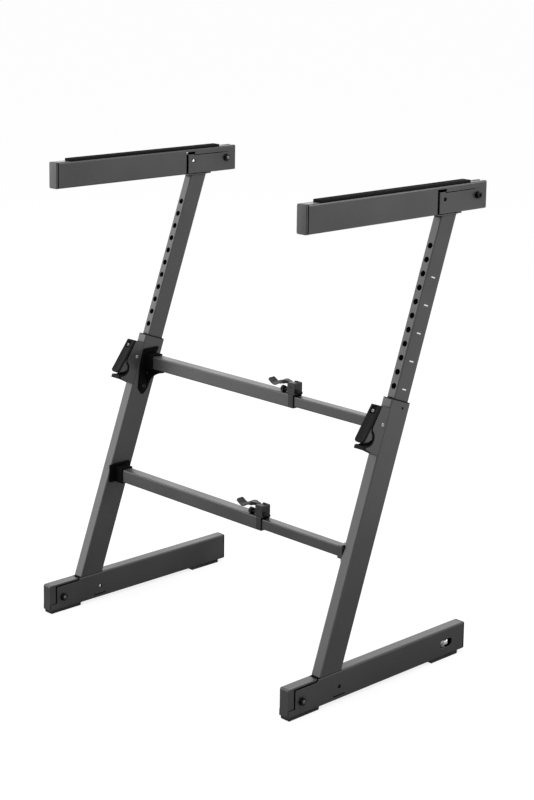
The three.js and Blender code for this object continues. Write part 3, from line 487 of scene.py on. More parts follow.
def foot_axes(graph, place):
    """Distances back from the feet's front ends and up from their undersides."""
    return graph.axes(place, joint_place("left_foot_fold") - FOOT_PIVOT, "YZ")


def arm_axes(graph, place):
    """Distances back from the arms' fold bolts and up from the arms' undersides."""
    low, _ = reach("left_arm_tube", ROW)
    return graph.axes(place, (0, joint_place("left_arm_fold")[1], low[2]), "YZ")


def upright_axes(graph, place, side):
    """Distances from a side's lever pivot: across, back square to the slope, and up along it."""
    across, y, z = graph.axes(place, SLOPES[side][:, 3])
    sin, cos = math.sin(LEAN), math.cos(LEAN)
    return across, y * cos - z * sin, y * sin + z * cos


def height_marks(graph, place):
    """The short marks across the outer face of the right inner upright, two holes apart."""
    across, depth, along = upright_axes(graph, place, "right")
    line = between(from_nearest(along, FIRST_MARK, MARK_PITCH), -1.2, 1.2) * between(depth, 32.6, 43.8)
    row = between(along, FIRST_MARK - 0.5 * MARK_PITCH, FIRST_MARK + (MARKS - 0.5) * MARK_PITCH)
    return line * row * (across > 9.9 * MM)


def hole_rim_shade(side):
    """A function that masks painted shade round the height holes on the front of an inner upright."""
    def rim_shade(graph, place):
        across, depth, along = upright_axes(graph, place, side)
        step = from_nearest(along, FIRST_HOLE, HOLE_PITCH)
        rim = across * across + step * step < (RIM_SHADE_RADIUS * MM) ** 2
        above_mouth = between(along, FIRST_HOLE + HOLE_PITCH / 3, LAST_HOLE + HOLE_PITCH / 2)
        return rim * above_mouth * (depth < 18 * MM)
    return rim_shade


def nose_seam_shade(graph, place):
    """Painted shade on the foot bracket along the cut in the foot's side: up behind the toe, level
    under the toe's top, and up round a quarter circle to the shoulder."""
    toe_back, toe_top, bend_back, bend_up, bend = 17, 51, 71, 58, 7
    y, z = foot_axes(graph, place)
    upright = between(y, toe_back - SEAM_SHADE_REACH, toe_back + SEAM_SHADE_REACH) * between(z, 12.7, 52.3)
    level = between(z, toe_top - SEAM_SHADE_REACH, toe_top + SEAM_SHADE_REACH) * between(y, 15.6, 71.2)
    behind, above = y - bend_back * MM, z - bend_up * MM
    away = behind * behind + above * above
    ring = (away > ((bend - SEAM_SHADE_REACH) * MM) ** 2) * (away < ((bend + SEAM_SHADE_REACH) * MM) ** 2)
    return upright | level | ring * (behind > 0) * (above < 0)


def tab_slit_shade(graph, place):
    """Painted shade of the slit under the load tab of a foot, and of the short one in front of the tab."""
    y, z = foot_axes(graph, place)
    return between(y, 119, 149.6) * between(z, 6.9, 9.1) | between(y, 118.7, 120.5) * between(z, 7, 11)


def arm_seam_shade(graph, place):
    """Painted shade along the seam over the top of an arm's bracket, between the hook and the bolt."""
    y, z = arm_axes(graph, place)
    return between(y, -95, -11) * between(z, 40.6, 42.2)


def hook_gap_shade(graph, place):
    """Painted shade on the edges of the arm's bracket that show through the gap round the arm's hook."""
    y, z = arm_axes(graph, place)
    return (y < -103 * MM) * (z > 0.1 * MM) | (y < -89 * MM) * (z > 42 * MM)


# Each finish: the function that makes it, the property that holds its colour, its roughness, and its
# gloss or how much it is stained.
FINISHES = {
    "bracket_paint": (painted_steel, "paint", 0.6, 0.04),
    "clamp_casting": (painted_steel, "casting", 0.45, 0.25),
    "moulded_black": (moulded_plastic, "plastic", 0.62, 0.08),
    "moulded_grey": (moulded_plastic, "cap", 0.42, 0.4),
    "moulded_lever": (moulded_plastic, "lever", 0.4, 0.3),
    "strip_rubber": (black_rubber, "rubber", 0.85),
    "pad_rubber": (black_rubber, "floor_pad", 0.75),
    "bright_plating": (bare_metal, "plating", 0.5, 0.15),
    "dull_plating": (bare_metal, "dull_plating", 0.42, 0.6),
    "rivet_plating": (bare_metal, "rivet", 0.42, 0.6),
    "blackened_steel": (bare_metal, "dark_steel", 0.42, 0.8),
}


def finish_of(name):
    """A finish's material, made the first time it is asked for."""
    if name not in bpy.data.materials:
        maker, colour_name, *values = FINISHES[name]
        maker(name, getattr(bpy.context.scene.stand_finishes, colour_name), *values)
    return bpy.data.materials[name]


# What a user would change


def length(name, description, millimetres):
    """A size property in metres."""
    return bpy.props.FloatProperty(
        name=name, description=description, default=millimetres * MM, min=0.0, unit="LENGTH", precision=5)


def colour(name, description, *values):
    """A colour property."""
    return bpy.props.FloatVectorProperty(
        name=name, description=description, default=values, min=0.0, max=1.0, subtype="COLOR", size=3)


class StandSizes(bpy.types.PropertyGroup):
    """Sizes of the detail that the pieces carry."""

    groove_depth: length("Groove depth", "How deep the rubber strips' grooves are", 0.7)
    groove_pitch: length("Groove pitch", "From one groove of a rubber strip to the next", 2.9)
    tread_depth: length("Tread depth", "How deep the grooves under the floor pads are", 0.8)
    cap_edge: length("Cap edge", "How far the end caps' outer edges are rounded", 1.3)
    pad_dish: length("Pad dish", "How deep the hand pads' faces are dished", 0.7)
    tooth_depth: length("Tooth depth", "How deep the levelling wheel's teeth are", 0.9)
    lever_thickness: length("Lever thickness", "How thick the clamp levers' wings are", 3.0)


class StandFinishes(bpy.types.PropertyGroup):
    """Colours and gloss of the finishes, and the studio's light."""

    coat: colour("Powder coat", "Colour of the coated steel tubes", 0.02, 0.02, 0.0207)
    coat_roughness: bpy.props.FloatProperty(
        name="Coat roughness", description="How dull the powder coat is", default=0.34,
        min=0.0, max=1.0, subtype="FACTOR")
    paint: colour("Bracket paint", "Colour of the left brackets", 0.0016, 0.0016, 0.0017)
    cap: colour("Cap plastic", "Colour of the end caps", 0.016, 0.016, 0.0165)
    lever: colour("Lever plastic", "Colour of the clamp levers", 0.009, 0.009, 0.0093)
    casting: colour("Clamp casting", "Colour of the painted clamp heads", 0.01, 0.01, 0.0104)
    plastic: colour("Plastic", "Colour of the black moulded parts", 0.004, 0.004, 0.0041)
    rubber: colour("Rubber", "Colour of the arms' rubber strips", 0.005, 0.005, 0.005)
    floor_pad: colour("Floor pad", "Colour of the floor pads", 0.018, 0.018, 0.0185)
    plating: colour("Plating", "Colour of the plated buttons and wheel", 0.92, 0.92, 0.91)
    dull_plating: colour("Dull plating", "Colour of the lock pins and the bolts' threads", 0.15, 0.15, 0.15)
    rivet: colour("Rivets", "Colour of the rivets of the height locks", 0.3, 0.3, 0.3)
    dark_steel: colour("Dark steel", "Colour of the blackened bolts and screws", 0.02, 0.02, 0.021)
    key_power: bpy.props.FloatProperty(
        name="Key power", description="Power of the large lamp at the front left", default=100.0,
        min=0.0, unit="POWER")


class Builder:
    """What the operators share: they can be undone, and take their values from the scene."""

    bl_options = {"REGISTER", "UNDO"}


class STAND_OT_coat_steel(Builder, bpy.types.Operator):
    """Give the steel tubes, their brackets and the locks their powder coat"""

    bl_idname = "stand.coat_steel"
    bl_label = "Coat the steel"

    def execute(self, context):
        look = context.scene.stand_finishes
        plain = both("outer_upright", "lock_housing", "lock_lever") + [
            f"{bar}_{name}" for bar in BARS for name in ("outer_bar", "inner_bar")]
        for name, nodes, marks, shadow in (
                ("fine", plain, None, None),
                ("foot_tube", both("foot_tube"), None, tab_slit_shade),
                ("foot_bracket", both("foot_hinge_bracket"), None, nose_seam_shade),
                ("arm_tube", both("arm_tube"), None, arm_seam_shade),
                ("arm_bracket", both("arm_hinge_bracket"), None, hook_gap_shade),
                ("left_inner", ["left_inner_upright"], None, hole_rim_shade("left")),
                ("right_inner", ["right_inner_upright"], height_marks, hole_rim_shade("right"))):
            made = coated_steel(f"powder_coat_{name}", look.coat, look.coat_roughness, marks, shadow)
            dress(made, *nodes)
        made = coated_steel("powder_coat_bracket", look.coat, look.coat_roughness, seam=1.5 * MM)
        dress(made, *[f"{bar}_right_bracket" for bar in BARS])
        return {"FINISHED"}


class STAND_OT_paint_brackets(Builder, bpy.types.Operator):
    """Paint the left brackets and the clamp heads"""

    bl_idname = "stand.paint_brackets"
    bl_label = "Paint the brackets"

    def execute(self, context):
        dress(finish_of("bracket_paint"), *[f"{bar}_left_bracket" for bar in BARS])
        dress(finish_of("clamp_casting"), *[f"{bar}_clamp_head" for bar in BARS])
        return {"FINISHED"}


class STAND_OT_mould_guides(Builder, bpy.types.Operator):
    """Give the guide sleeves and the finger rests their black plastic"""

    bl_idname = "stand.mould_guides"
    bl_label = "Mould the guides"

    def execute(self, context):
        dress(finish_of("moulded_black"), *both("guide_sleeve", "finger_rest"))
        return {"FINISHED"}


class STAND_OT_end_caps(Builder, bpy.types.Operator):
    """Make the caps that close the feet at the rear and the arms at the front"""

    bl_idname = "stand.end_caps"
    bl_label = "End caps"

    def execute(self, context):
        # Each ring is the tube's rounded rectangle drawn in by an inset: a plug in the tube, a step at the
        # seam and a face whose edge is a quarter circle.
        edge, corner, least_corner = context.scene.stand_sizes.cap_edge, 3 * MM, 0.6 * MM
        turn = np.linspace(0, math.pi / 2, 6)
        insets = np.concatenate([
            np.array([2.9, 1.9, 1.9, 1.3, 1.3, 0.3, 0.0]) * MM, edge * (1 - np.cos(turn))])
        for name, body, flange, face in (
                ("foot_rear_cap", "foot", 3.7 * MM, 1), ("arm_front_cap", "arm", 5.5 * MM, -1)):
            for side in SIDES:
                low, high = reach(f"{side}_{name}", ROW)
                half = (high - low) / 2
                outer, inner = (high[1], low[1]) if face > 0 else (low[1], high[1])
                seam = outer - face * flange
                stations = np.concatenate([
                    [inner, inner + face * 1.0 * MM, seam],
                    seam + face * np.array([0.0, 1.3, 1.6, 2.0]) * MM,
                    outer - face * edge * (1 - np.sin(turn)),
                ])
                section = rounded(
                    half[0] - insets, half[2] - insets, np.maximum(corner - insets, least_corner))
                rings = along_y(section, stations, (low + high)[[0, 2]] / 2)
                piece(f"{side}_{name}_moulded", [shell(rings)], ROW, "moulded_grey", f"{side}_{body}",
                      "black_plastic", f"{side}_{name}")
        return {"FINISHED"}


class STAND_OT_rubber_strips(Builder, bpy.types.Operator):
    """Make the grooved rubber strips that the keyboard rests on"""

    bl_idname = "stand.rubber_strips"
    bl_label = "Rubber strips"

    def execute(self, context):
        # The top lies lower by depth times exp(-(phase / width)^2) at each groove, where phase is the part
        # of a pitch from the groove's middle, and falls straight over both edges.
        sizes = context.scene.stand_sizes
        edge, heel, groove_width, ungrooved = 1.2 * MM, 0.4 * MM, 0.17, 1.6 * MM
        for side in SIDES:
            node = f"{side}_arm_rubber_strip"
            low, high = reach(node, ROW)
            half, height = (high[0] - low[0]) / 2, high[2] - low[2]
            across = np.linspace(half, -half, 141)
            phase = (across / sizes.groove_pitch + 0.5) % 1 - 0.5
            groove = sizes.groove_depth * np.exp(-(phase / groove_width) ** 2)
            top = height - groove * (abs(across) < half - ungrooved)
            top -= np.maximum(edge - (half - abs(across)), 0)
            foot = np.array([[half - heel, 0], [half, heel]])
            outline = np.concatenate([foot, np.stack([across, top], -1), foot[::-1] * [-1, 1]])
            stations, insets = eased_ends(low[1], high[1], edge)
            share = 1 - insets[:, None, None] / np.array([half, height])
            rings = along_y(outline * share, stations, ((low[0] + high[0]) / 2, low[2]))
            piece(f"{side}_rubber_strip", [shell(rings)], ROW, "strip_rubber", f"{side}_arm", "rubber", node)
        return {"FINISHED"}


class STAND_OT_floor_pads(Builder, bpy.types.Operator):
    """Make the treaded floor pads, and the screw of the right levelling pad"""

    bl_idname = "stand.floor_pads"
    bl_label = "Floor pads"

    def execute(self, context):
        depth = context.scene.stand_sizes.tread_depth
        bodies = {"left_foot_rear_pad": "left_foot", "right_foot_rear_pad": "right_levelling_pad",
                  "left_foot_front_pad": "left_lower", "right_foot_front_pad": "right_lower"}
        # The underside rises by depth times exp(-(phase / width)^2) at each groove, and in a slope at the
        # ends. The sides draw in by 0.5 mm times exp(-distance from the end / 0.6 mm).
        thickness, corner, tread_pitch, groove_width, slope = 6.2 * MM, 1.1 * MM, 5 * MM, 0.16, 2 * MM
        for node, body in bodies.items():
            low, high = reach(node, ROW)
            half = (high[0] - low[0]) / 2
            stations = np.linspace(low[1], high[1], 161)
            from_end = np.minimum(stations - low[1], high[1] - stations)
            phase = ((stations - low[1]) / tread_pitch) % 1 - 0.5
            lift = np.maximum(slope - from_end, 0)
            lift += depth * np.exp(-(phase / groove_width) ** 2) * (from_end > 2 * slope)
            inset = 0.5 * MM * np.exp(-from_end / (0.6 * MM))
            full = np.ones_like(inset)
            section = rounded(half - inset, thickness / 2 * full, corner * full)
            section[..., 1] += lift[:, None] * np.clip(0.5 - section[..., 1] / thickness, 0, 1)
            rings = along_y(section, stations, ((low[0] + high[0]) / 2, low[2] + thickness / 2))
            shells = [shell(rings)]
            if node == "right_foot_rear_pad":
                centre = joint_place("right_levelling_turn")
                start = low[2] + thickness + 0.05 * MM
                end, cut = (high[2] - start) / MM, (high[2] - low[2]) / MM - 6.8
                rows = [(0, 3.0)] + thread(0.5, cut - 0.6, 3.0, 1.25, 0.45) + [(cut, 2.4)]
                rows = [(out * end / cut, radius) for out, radius in rows]
                shells.append(lathed(rows, (centre[0], centre[1], start), "z", count=28))
            piece(f"{node}_treaded", shells, ROW, "pad_rubber", body, "rubber", node,
                  second="bright_plating" if len(shells) > 1 else None)
        return {"FINISHED"}


class STAND_OT_levelling_wheel(Builder, bpy.types.Operator):
    """Make the toothed wheel that levels the right foot"""

    bl_idname = "stand.levelling_wheel"
    bl_label = "Levelling wheel"

    def execute(self, context):
        # The teeth press in the rim's rings in full, and the feet of its bevels by a fifth.
        depth = context.scene.stand_sizes.tooth_depth
        node = "right_levelling_wheel"
        low, high = reach(node, ROW)
        centre = joint_place("right_levelling_turn")
        top, rim, rim_foot, teeth = (high[2] - low[2]) / MM, 9.0, 10.6, 36
        rows = np.array([
            (0, 3.2), (0, 6.1), (0.4, 6.5), (top - rim, 6.5), (top - rim, rim_foot), (top - rim + 0.9, 11.6),
            (top - rim + 1.3, 12), (top - 1.3, 12), (top - 0.9, 11.6), (top, rim_foot), (top - 0.5, 9.6),
            (top - 0.5, 5.4), (top, 5.0), (top, 3.2),
        ]) * MM
        pressed = np.where(rows[:, 1] > 11.5 * MM, depth, 0)
        pressed = np.where(abs(rows[:, 1] - rim_foot * MM) < HAIR, depth * 0.2, pressed)
        wheel = turned(rows, (centre[0], centre[1], low[2]), "z", count=6 * teeth, teeth=(teeth, pressed),
                       looped=True)
        piece("levelling_wheel_toothed", [wheel], ROW, "bright_plating", node, "plated_steel", node)
        return {"FINISHED"}


def bolt_shells(centre, face, side, head_rows):
    """A fold bolt's head on one side, its nut and thread end on the other, and its shank between."""
    nut_rows = [(0, 6.6), (0.35, 7.2, 6.5), (0.7, 7.6, 6.5), (4.8, 7.6, 6.5), (5.15, 7.2, 6.5), (5.5, 6.4),
                (5.5, 4.2), (5.1, 4.05)]
    end_rows = [(5.15, 4.0), (5.6, 4.0), (5.8, 3.7), (6.0, 4.0), (6.4, 4.0), (6.7, 3.8), (7.0, 3.3)]
    shank = np.array([(-face, 4 * MM), (face, 4 * MM)])
    shells = [turned(shank, centre, "x", count=24)]
    for rows, way in ((head_rows, side), (nut_rows, -side), (end_rows, -side)):
        shells.append(lathed(rows, (centre[0] + way * face, centre[1], centre[2]), "x", way))
    return shells


class STAND_OT_fold_bolts(Builder, bpy.types.Operator):
    """Make the bolts that the feet and the arms fold on"""

    bl_idname = "stand.fold_bolts"
    bl_label = "Fold bolts"

    def execute(self, context):
        low_head = [(0, 6.9), (0.25, 7.0), (1.0, 7.0), (1.9, 6.5), (2.7, 5.5), (3.25, 4.2), (3.5, 3.0),
                    (3.45, 2.7, 2.3), (1.6, 2.7, 2.3), (1.4, 1.2, 1.1)]
        socket_head = [(0, 6.4), (0.2, 6.5), (6.2, 6.5), (6.75, 6.25), (7.0, 5.7), (7.0, 3.6),
                       (6.8, 3.3, 2.8), (3.2, 3.3, 2.8), (3.0, 1.2, 1.1)]
        face = 12.8 * MM
        for side, sign in SIDES.items():
            for name, body, joint, rows, way in (
                    ("foot_pivot_bolt", f"{side}_lower", f"{side}_foot_fold", low_head, -1),
                    ("arm_pivot_bolt", f"{side}_upper", f"{side}_arm_fold", socket_head, sign)):
                shells = bolt_shells(joint_place(joint), face, way, rows)
                piece(f"{side}_{name}_threaded", shells, ROW, "blackened_steel", body, "dark_steel",
                      f"{side}_{name}", second="dull_plating")
        return {"FINISHED"}


class STAND_OT_lock_buttons(Builder, bpy.types.Operator):
    """Make the spring buttons that lock the folded feet and arms"""

    bl_idname = "stand.lock_buttons"
    bl_label = "Lock buttons"

    def execute(self, context):
        for side, sign in SIDES.items():
            for name in ("foot", "arm"):
                node = f"{side}_{name}_lock_button"
                low, high = reach(node, ROW)
                span = (high[0] - low[0]) / MM
                rows = [(0, 3.5), (0.3, 3.8), (span - 1.0, 3.8), (span - 0.5, 3.65), (span - 0.2, 3.3),
                        (span - 0.05, 2.6), (span, 1.4)]
                start = (low[0] if sign < 0 else high[0], *(low + high)[1:] / 2)
                piece(f"{node}_domed", [lathed(rows, start, "x", -sign, 32)], ROW, "bright_plating",
                      f"{side}_{name}_button", "plated_steel", node)
        return {"FINISHED"}


class STAND_OT_hand_pads(Builder, bpy.types.Operator):
    """Make the dished hand pads of the height locks, with the opening that the lock pin passes through"""

    bl_idname = "stand.hand_pads"
    bl_label = "Hand pads"

    def execute(self, context):
        # The face lies back by a quarter circle along its outline, by a recess round the slot, and by the
        # dish: a parabola across, times a smooth step up from the bottom and another down to the slot.
        dish = context.scene.stand_sizes.pad_dish
        ease, corner, recess_depth, half_dish = 1.4 * MM, 6 * MM, 2.2 * MM, 9 * MM
        half_slot, slot_low, slot_high = 2.9 * MM, 10.8 * MM, 20.6 * MM
        near = np.array([0, 0.12, 0.4, 0.85, 1.4]) * MM
        for side in SIDES:
            node = f"{side}_hand_pad"
            low, high = reach(node, LEVERS[side])
            half, bottom, top = high[0], low[2], high[2]
            along = np.concatenate([
                bottom + corner * (1 - np.cos(np.linspace(0, math.pi / 2, 8))),
                np.linspace(bottom + 8 * MM, 3 * MM, 14), np.array([5, 7.6, 8, 8.4]) * MM,
                [slot_low, slot_high], np.array([23.6, 24, 24.4]) * MM, (top - near)[::-1],
            ])
            u = np.concatenate([near - half, np.array([-8, -6.4, -6, -5.6]) * MM, [-half_slot]])
            u = np.concatenate([u, -u[::-1]]) / half
            rows = along[:, None]
            width = half - corner + np.sqrt(np.maximum(
                corner ** 2 - np.maximum(corner - (rows - bottom), 0) ** 2, 0))
            across = np.where(abs(u) <= 8 * MM / half, u * np.minimum(1, width / half),
                              np.sign(u) * (width / half - 1 + abs(u))) * half
            across = np.clip(across, -width, width)
            rows = np.broadcast_to(rows, across.shape)
            edge = np.minimum(np.minimum(width - abs(across), rows - bottom), top - rows)
            fall = ease - np.sqrt(np.maximum(ease ** 2 - np.maximum(ease - edge, 0) ** 2, 0))
            hollow = dish * np.maximum(1 - (across / half_dish) ** 2, 0) * (
                smooth_step(rows, bottom + 2 * MM, bottom + 10 * MM) * (1 - smooth_step(rows, 0.0, 5 * MM)))
            recess = recess_depth * (abs(across) < 5.8 * MM) * (rows > 8.2 * MM) * (rows < 23.8 * MM)
            front = np.stack([across, low[1] + fall + hollow + recess, rows], -1)
            back = np.stack([across, np.full_like(across, high[1]), rows], -1)
            open_row = (along[:-1] > slot_low - HAIR) & (along[1:] < slot_high + HAIR)
            kept = ~(open_row[:, None] & (abs(u[:-1] + u[1:]) < HAIR))
            piece(f"{side}_hand_pad_dished", [plate(front, back, kept)], LEVERS[side], "moulded_black",
                  f"{side}_lever", "black_plastic", node)
        return {"FINISHED"}


class STAND_OT_lock_pins(Builder, bpy.types.Operator):
    """Make the lock pins and the rivets that the lock levers turn on"""

    bl_idname = "stand.lock_pins"
    bl_label = "Lock pins"

    def execute(self, context):
        for side in SIDES:
            place = SLOPES[side]
            low, high = reach(f"{side}_detent_pin", place)
            end = (high[1] - low[1]) / MM
            rows = [(0.9, 1.6, 1.35), (0.05, 1.6, 1.35), (0, 1.9), (0.12, 2.8), (0.5, 3.3), (0.9, 3.4),
                    (1.7, 3.4), (1.8, 3.3), (1.8, 2.5), (end - 11.9, 2.5), (end - 11.9, 4.3),
                    (end - 11.6, 4.6), (end - 1.4, 4.6), (end - 0.3, 3.9), (end, 3.3)]
            start = (0, low[1], (low[2] + high[2]) / 2)
            piece(f"{side}_lock_pin", [lathed(rows, start, "y", count=36)], place,
                  "dull_plating", f"{side}_detent", "plated_steel", f"{side}_detent_pin")
            low, high = reach(f"{side}_lever_pin", place)
            end = high[0] / MM
            rows = [(end - 0.55, 1.1), (end - 0.45, 1.5), (end, 2.0), (end - 0.08, 3.1), (end - 0.4, 3.8),
                    (end - 0.9, 4.0), (end - 0.9, 3.0)]
            rows += [(-out, radius) for out, radius in rows[::-1]]
            piece(f"{side}_lever_rivet", [lathed(rows, (0, 0, 0), "x", count=36)], place,
                  "rivet_plating", f"{side}_lower", "plated_steel", f"{side}_lever_pin")
        return {"FINISHED"}


class STAND_OT_clamp_levers(Builder, bpy.types.Operator):
    """Make the winged levers that clamp the crossbars"""

    bl_idname = "stand.clamp_levers"
    bl_label = "Clamp levers"

    def execute(self, context):
        # The wing is a section carried along the knots, which a window of 13 stations smooths. Its half
        # width grows by a smooth step along the run s and closes as a circle at the tip. Across it, t runs
        # from -1 to 1: the top has a rim beyond 0.8 and ribs that follow a sine between the rims, and the
        # underside has a skirt beyond 0.75.
        half_thick = context.scene.stand_sizes.lever_thickness / 2
        knots = np.array([(-2, 2.2), (-9, 2.9), (-15, 4.6), (-24, 5.4), (-33, 4.4), (-40, 1.4), (-47, -2.6),
                          (-53, -4.2), (-58, -2.6), (-63, 0.6), (-68.2, 4.2)]) * MM
        run = np.concatenate([[0], np.cumsum(np.linalg.norm(np.diff(knots, axis=0), axis=1))])
        s = np.linspace(0, run[-1], 90)
        bend = np.stack([np.interp(s, run, knots[:, i]) for i in range(2)], -1)
        half_window = 6
        window = np.hanning(2 * half_window + 1)
        window /= window.sum()
        padded = np.pad(bend, ((half_window,) * 2, (0, 0)), mode="reflect", reflect_type="odd")
        bend = np.stack([np.convolve(padded[:, i], window, mode="valid") for i in range(2)], -1)

        spread = smooth_step(s, 14 * MM, 27 * MM)
        root = 0.6 * MM + 1.0 * MM * smooth_step(s, 8 * MM, 14 * MM)
        neck = half_thick + root * (1 - smooth_step(s, 14 * MM, 40 * MM))
        tip = np.sqrt(np.clip(1 - ((s - (run[-1] - 4 * MM)) / (4.2 * MM)).clip(0) ** 2, 0.05, 1))
        half_width = (4.3 * MM + spread * 4.7 * MM) * (0.45 + 0.55 * tip)
        path = np.stack([bend[:, 0], np.interp(spread, [0, 1], [2.5 * MM, 0]), bend[:, 1]], -1)
        t = np.linspace(-1, 1, 31)
        rim, rib_pitch = spread * 1.5 * MM, 3.2 * MM
        ribs = 0.5 + 0.5 * np.sin(2 * math.pi * s / rib_pitch)
        grip = 0.5 * MM * spread * ribs * smooth_step(s, 45 * MM, 50 * MM)
        dished = 1 - smooth_step(abs(t), 0.74, 0.84)
        top = neck[:, None] + rim[:, None] * (1 - dished) + grip[:, None] * dished
        ease = 1 - 0.35 * smooth_step(abs(t), 0.9, 1.0)
        across = np.concatenate([np.outer(half_width, t), np.outer(half_width, t[::-1])], 1)
        skirt = 1.8 * MM * smooth_step(s, 16 * MM, 26 * MM) * (1 - smooth_step(s, 46 * MM, 60 * MM))
        under = -neck[:, None] * ease - skirt[:, None] * smooth_step(abs(t), 0.7, 0.8)
        out = np.concatenate([under, (top * ease)[:, ::-1]], 1)

        hub_start, hub_end = -1.8 * MM, 6.8 * MM
        hub = [(0, 5.2), (0.5, 5.9), (1, 6), (7.6, 6), (8.1, 5.9), (8.6, 5.2)]
        for bar in BARS:
            node = f"{bar}_clamp_lever"
            place = leaning(joint_place(f"{bar}_clamp_open"), 0)
            low, high = reach(node, place)
            shells = [carried(path, across, -out), lathed(hub, (0, hub_start, 0), "y", count=40)]
            for start, end, way in ((low[1], hub_start, 1), (high[1], hub_end, -1)):
                pin = [(0, 1.9), (0.4, 2.5), (abs(start - end) / MM, 2.5)]
                shells.append(lathed(pin, (0, start, 0), "y", way, 24))
            piece(f"{bar}_clamp_wing", shells, place, "moulded_lever", node, "black_plastic", node)
        return {"FINISHED"}


class STAND_OT_clamp_screws(Builder, bpy.types.Operator):
    """Make the clamps' threaded screws and their nuts"""

    bl_idname = "stand.clamp_screws"
    bl_label = "Clamp screws"

    def execute(self, context):
        for bar in BARS:
            node = f"{bar}_clamp_screw"
            low, high = reach(node, ROW)
            span = (high[0] - low[0]) / MM
            rows = [(0, 6.3), (0.35, 7.0, 6.3), (0.7, 7.3, 6.3), (6.3, 7.3, 6.3), (6.65, 7.0, 6.3), (7, 6.2),
                    (7, 3.8)]
            rows += thread(7.4, span - 1.0, 3.8, 1.5, 0.5) + [(span - 0.4, 3.5), (span, 3.0)]
            screw = lathed(rows, (low[0], *(low + high)[1:] / 2), "x", count=36)
            piece(f"{bar}_clamp_stud", [screw], ROW, "blackened_steel", "left_lower", "dark_steel", node)
        return {"FINISHED"}


class STAND_OT_small_screws(Builder, bpy.types.Operator):
    """Put heads on the bolts of the upper brackets and on the guide screws"""

    bl_idname = "stand.small_screws"
    bl_label = "Small screws"

    def execute(self, context):
        bolt = [(0, 4.7), (0.9, 4.9), (1.7, 4.5), (2.4, 3.6), (2.8, 2.4), (2.75, 2.1, 1.8), (1.6, 2.1, 1.8),
                (1.5, 1.0, 0.9)]
        screw = [(0, 2.6), (0.4, 2.7), (0.9, 2.2), (1.15, 1.3), (1.1, 1.0, 0.8), (0.5, 0.9, 0.8)]
        bracket_face, bolt_places = 340.7, ((-5.7, -26.1), (-19.38, -54.375))
        sleeve_face, guide_place = 12, (45.0, 39.9)
        low, high = reach("upper_outer_bar", ROW)
        bar = leaning((0, *(low + high)[1:] / 2), 0)
        for side, sign in SIDES.items():
            heads = [lathed(bolt, np.array([sign * bracket_face, *place]) * MM, "x", -sign, 36)
                     for place in bolt_places]
            piece(f"{side}_bracket_bolt_heads", heads, bar, "blackened_steel", f"{side}_lower",
                  "dark_steel")
        for side, sign in SIDES.items():
            head = lathed(screw, np.array([sign * sleeve_face, *guide_place]) * MM, "x", sign, 24)
            piece(f"{side}_guide_screw", [head], SLOPES[side], "blackened_steel", f"{side}_lower",
                  "dark_steel")
        return {"FINISHED"}


# The stage

STAND_MIDDLE = (0, 0, 0.5)
CAMERA_PLACE, CAMERA_TURNS = (2.57627, -2.48422, 1.44804), (45.722, 10.434, 0.813)
CAMERA_VALUES = (81.98, 36.0, -0.18, 300.0)  # lens, sensor width, upward shift, furthest distance
FLOOR_REACH, FLOOR_SEEN_WHITE, FLOOR_TONE = 80.0, 0.8, 0.94
MIRRORED_SHADE_NEAR, MIRRORED_FAR, WORLD_STRENGTH = 0.22, 0.95, 0.98


def lamp(name, place, target, size, power):
    """A square area lamp of a power in watts, aimed at a point."""
    data = bpy.data.lights.new(name, "AREA")
    data.shape, data.size, data.energy = "SQUARE", size, power
    made = link(name, data)
    made.location = place
    made.visible_camera = False
    made.rotation_euler = (Vector(target) - Vector(place)).to_track_quat("-Z", "Y").to_euler()


def lay_floor():
    """A matt floor, nearly white to the camera. For reflections it is painted dark near the stand as shade,
    bright further out and dimmer again towards the horizon."""
    mesh = bpy.data.meshes.new("studio_floor")
    corners = np.array([(-1, -1, 0), (1, -1, 0), (1, 1, 0), (-1, 1, 0)]) * FLOOR_REACH
    mesh.from_pydata(corners.tolist(), [], [(0, 1, 2, 3)])
    floor = link("studio_floor", mesh)
    graph, place = new_material("studio_floor_white")
    seen, glossy = graph.rays("Camera"), graph.rays("Glossy")
    away = graph.node("VectorMath", {"operation": "LENGTH"}, {0: place}, "Value")
    # Painted shade for reflections: dark near the stand, bright further out, dimmer again towards the
    # horizon.
    far = graph.spread(away, 0.5, 2.6) * (1 - graph.spread(away, 4.4, 6.5) * 0.45)
    mirrored_shade = graph.colours(far, grey(MIRRORED_SHADE_NEAR), grey(MIRRORED_FAR))
    matt = graph.node("BsdfDiffuse", {}, {"Color": graph.colours(glossy, grey(FLOOR_TONE), mirrored_shade)})
    white = graph.node("Emission", {}, {"Color": grey(1), "Strength": 1.0})
    graph.surface(graph.node("MixShader", {}, {0: seen * FLOOR_SEEN_WHITE, 1: matt, 2: white}))
    mesh.materials.append(bpy.data.materials["studio_floor_white"])


def light_world():
    """A world that lights softly, and that the camera, reflections and glass see as white."""
    bpy.context.scene.world = bpy.data.worlds.new("studio_world")
    graph = Graph(bpy.context.scene.world)
    seen = graph.rays("Camera") + graph.rays("Glossy") + graph.rays("Transmission")
    soft, white = (graph.node("Background", {}, {"Color": grey(1), "Strength": strength})
                   for strength in (WORLD_STRENGTH, 1.0))
    mixed = graph.node("MixShader", {}, {0: seen, 1: soft, 2: white})
    graph.surface(mixed, "OutputWorld")


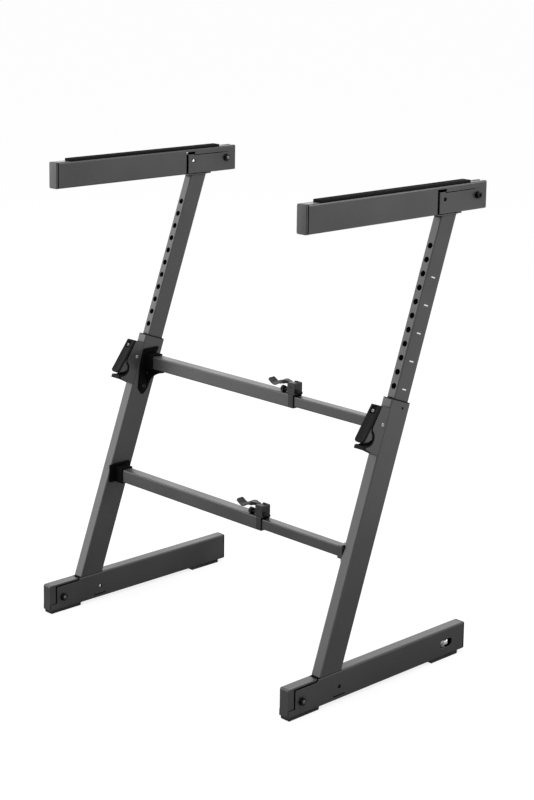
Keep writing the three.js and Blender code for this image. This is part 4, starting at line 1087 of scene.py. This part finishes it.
def set_camera():
    """The photograph's camera: its turns are to the left, downwards and about its own view."""
    data = bpy.data.cameras.new("photo_camera")
    data.lens, data.sensor_width, data.shift_y, data.clip_end = CAMERA_VALUES
    yaw, pitch, roll = (math.radians(turn) for turn in CAMERA_TURNS)
    level = Vector((math.cos(yaw), math.sin(yaw), 0))
    ahead = Vector((-math.sin(yaw), math.cos(yaw), 0)) * math.cos(pitch) - Vector((0, 0, math.sin(pitch)))
    upright = level.cross(ahead)
    right = level * math.cos(roll) + upright * math.sin(roll)
    up = upright * math.cos(roll) - level * math.sin(roll)
    camera = link("photo_camera", data)
    camera.matrix_world = Matrix.Translation(CAMERA_PLACE) @ Matrix((right, up, -ahead)).transposed().to_4x4()
    bpy.context.scene.camera = camera


class STAND_OT_stage(Builder, bpy.types.Operator):
    """Set the floor, the soft lamps and the camera"""

    bl_idname = "stand.stage"
    bl_label = "Studio stage"

    def execute(self, context):
        lay_floor()
        light_world()
        lamp("key_front_left", (-2.9, -1.9, 1.5), STAND_MIDDLE, 3.4, context.scene.stand_finishes.key_power)
        lamp("fill_above", (0.4, -0.6, 3.4), STAND_MIDDLE, 2.6, 60)
        lamp("back_left", (-2.4, 2.6, 1.5), STAND_MIDDLE, 2.2, 14)
        lamp("side_right", (2.0, 1.5, 1.5), (0.2, 0.1, 0.8), 1.0, 16)
        set_camera()
        context.scene.view_settings.view_transform = "Standard"
        return {"FINISHED"}


OPERATORS = (
    STAND_OT_coat_steel, STAND_OT_paint_brackets, STAND_OT_mould_guides, STAND_OT_end_caps,
    STAND_OT_rubber_strips, STAND_OT_floor_pads, STAND_OT_levelling_wheel, STAND_OT_fold_bolts,
    STAND_OT_lock_buttons, STAND_OT_hand_pads, STAND_OT_lock_pins, STAND_OT_clamp_levers,
    STAND_OT_clamp_screws, STAND_OT_small_screws, STAND_OT_stage,
)


class STAND_PT_looks(bpy.types.Panel):
    """The stand's sizes, finishes and pieces"""

    bl_idname = "STAND_PT_looks"
    bl_label = "Keyboard stand"
    bl_space_type = "VIEW_3D"
    bl_region_type = "UI"
    bl_category = "Stand"

    def draw(self, context):
        for group in (context.scene.stand_sizes, context.scene.stand_finishes):
            box = self.layout.box()
            for name in group.__annotations__:
                box.prop(group, name)
        column = self.layout.column()
        for operator in OPERATORS:
            column.operator(operator.bl_idname)


CLASSES = (StandSizes, StandFinishes, *OPERATORS, STAND_PT_looks)


def register():
    for cls in CLASSES:
        bpy.utils.register_class(cls)
    bpy.types.Scene.stand_sizes = bpy.props.PointerProperty(type=StandSizes)
    bpy.types.Scene.stand_finishes = bpy.props.PointerProperty(type=StandFinishes)


def unregister():
    del bpy.types.Scene.stand_finishes
    del bpy.types.Scene.stand_sizes
    for cls in reversed(CLASSES):
        bpy.utils.unregister_class(cls)


def main():
    """Registers the add-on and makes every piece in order."""
    register()
    for operator in OPERATORS:
        getattr(bpy.ops.stand, operator.bl_idname.split(".")[1])()


if __name__ == "__main__":
    main()
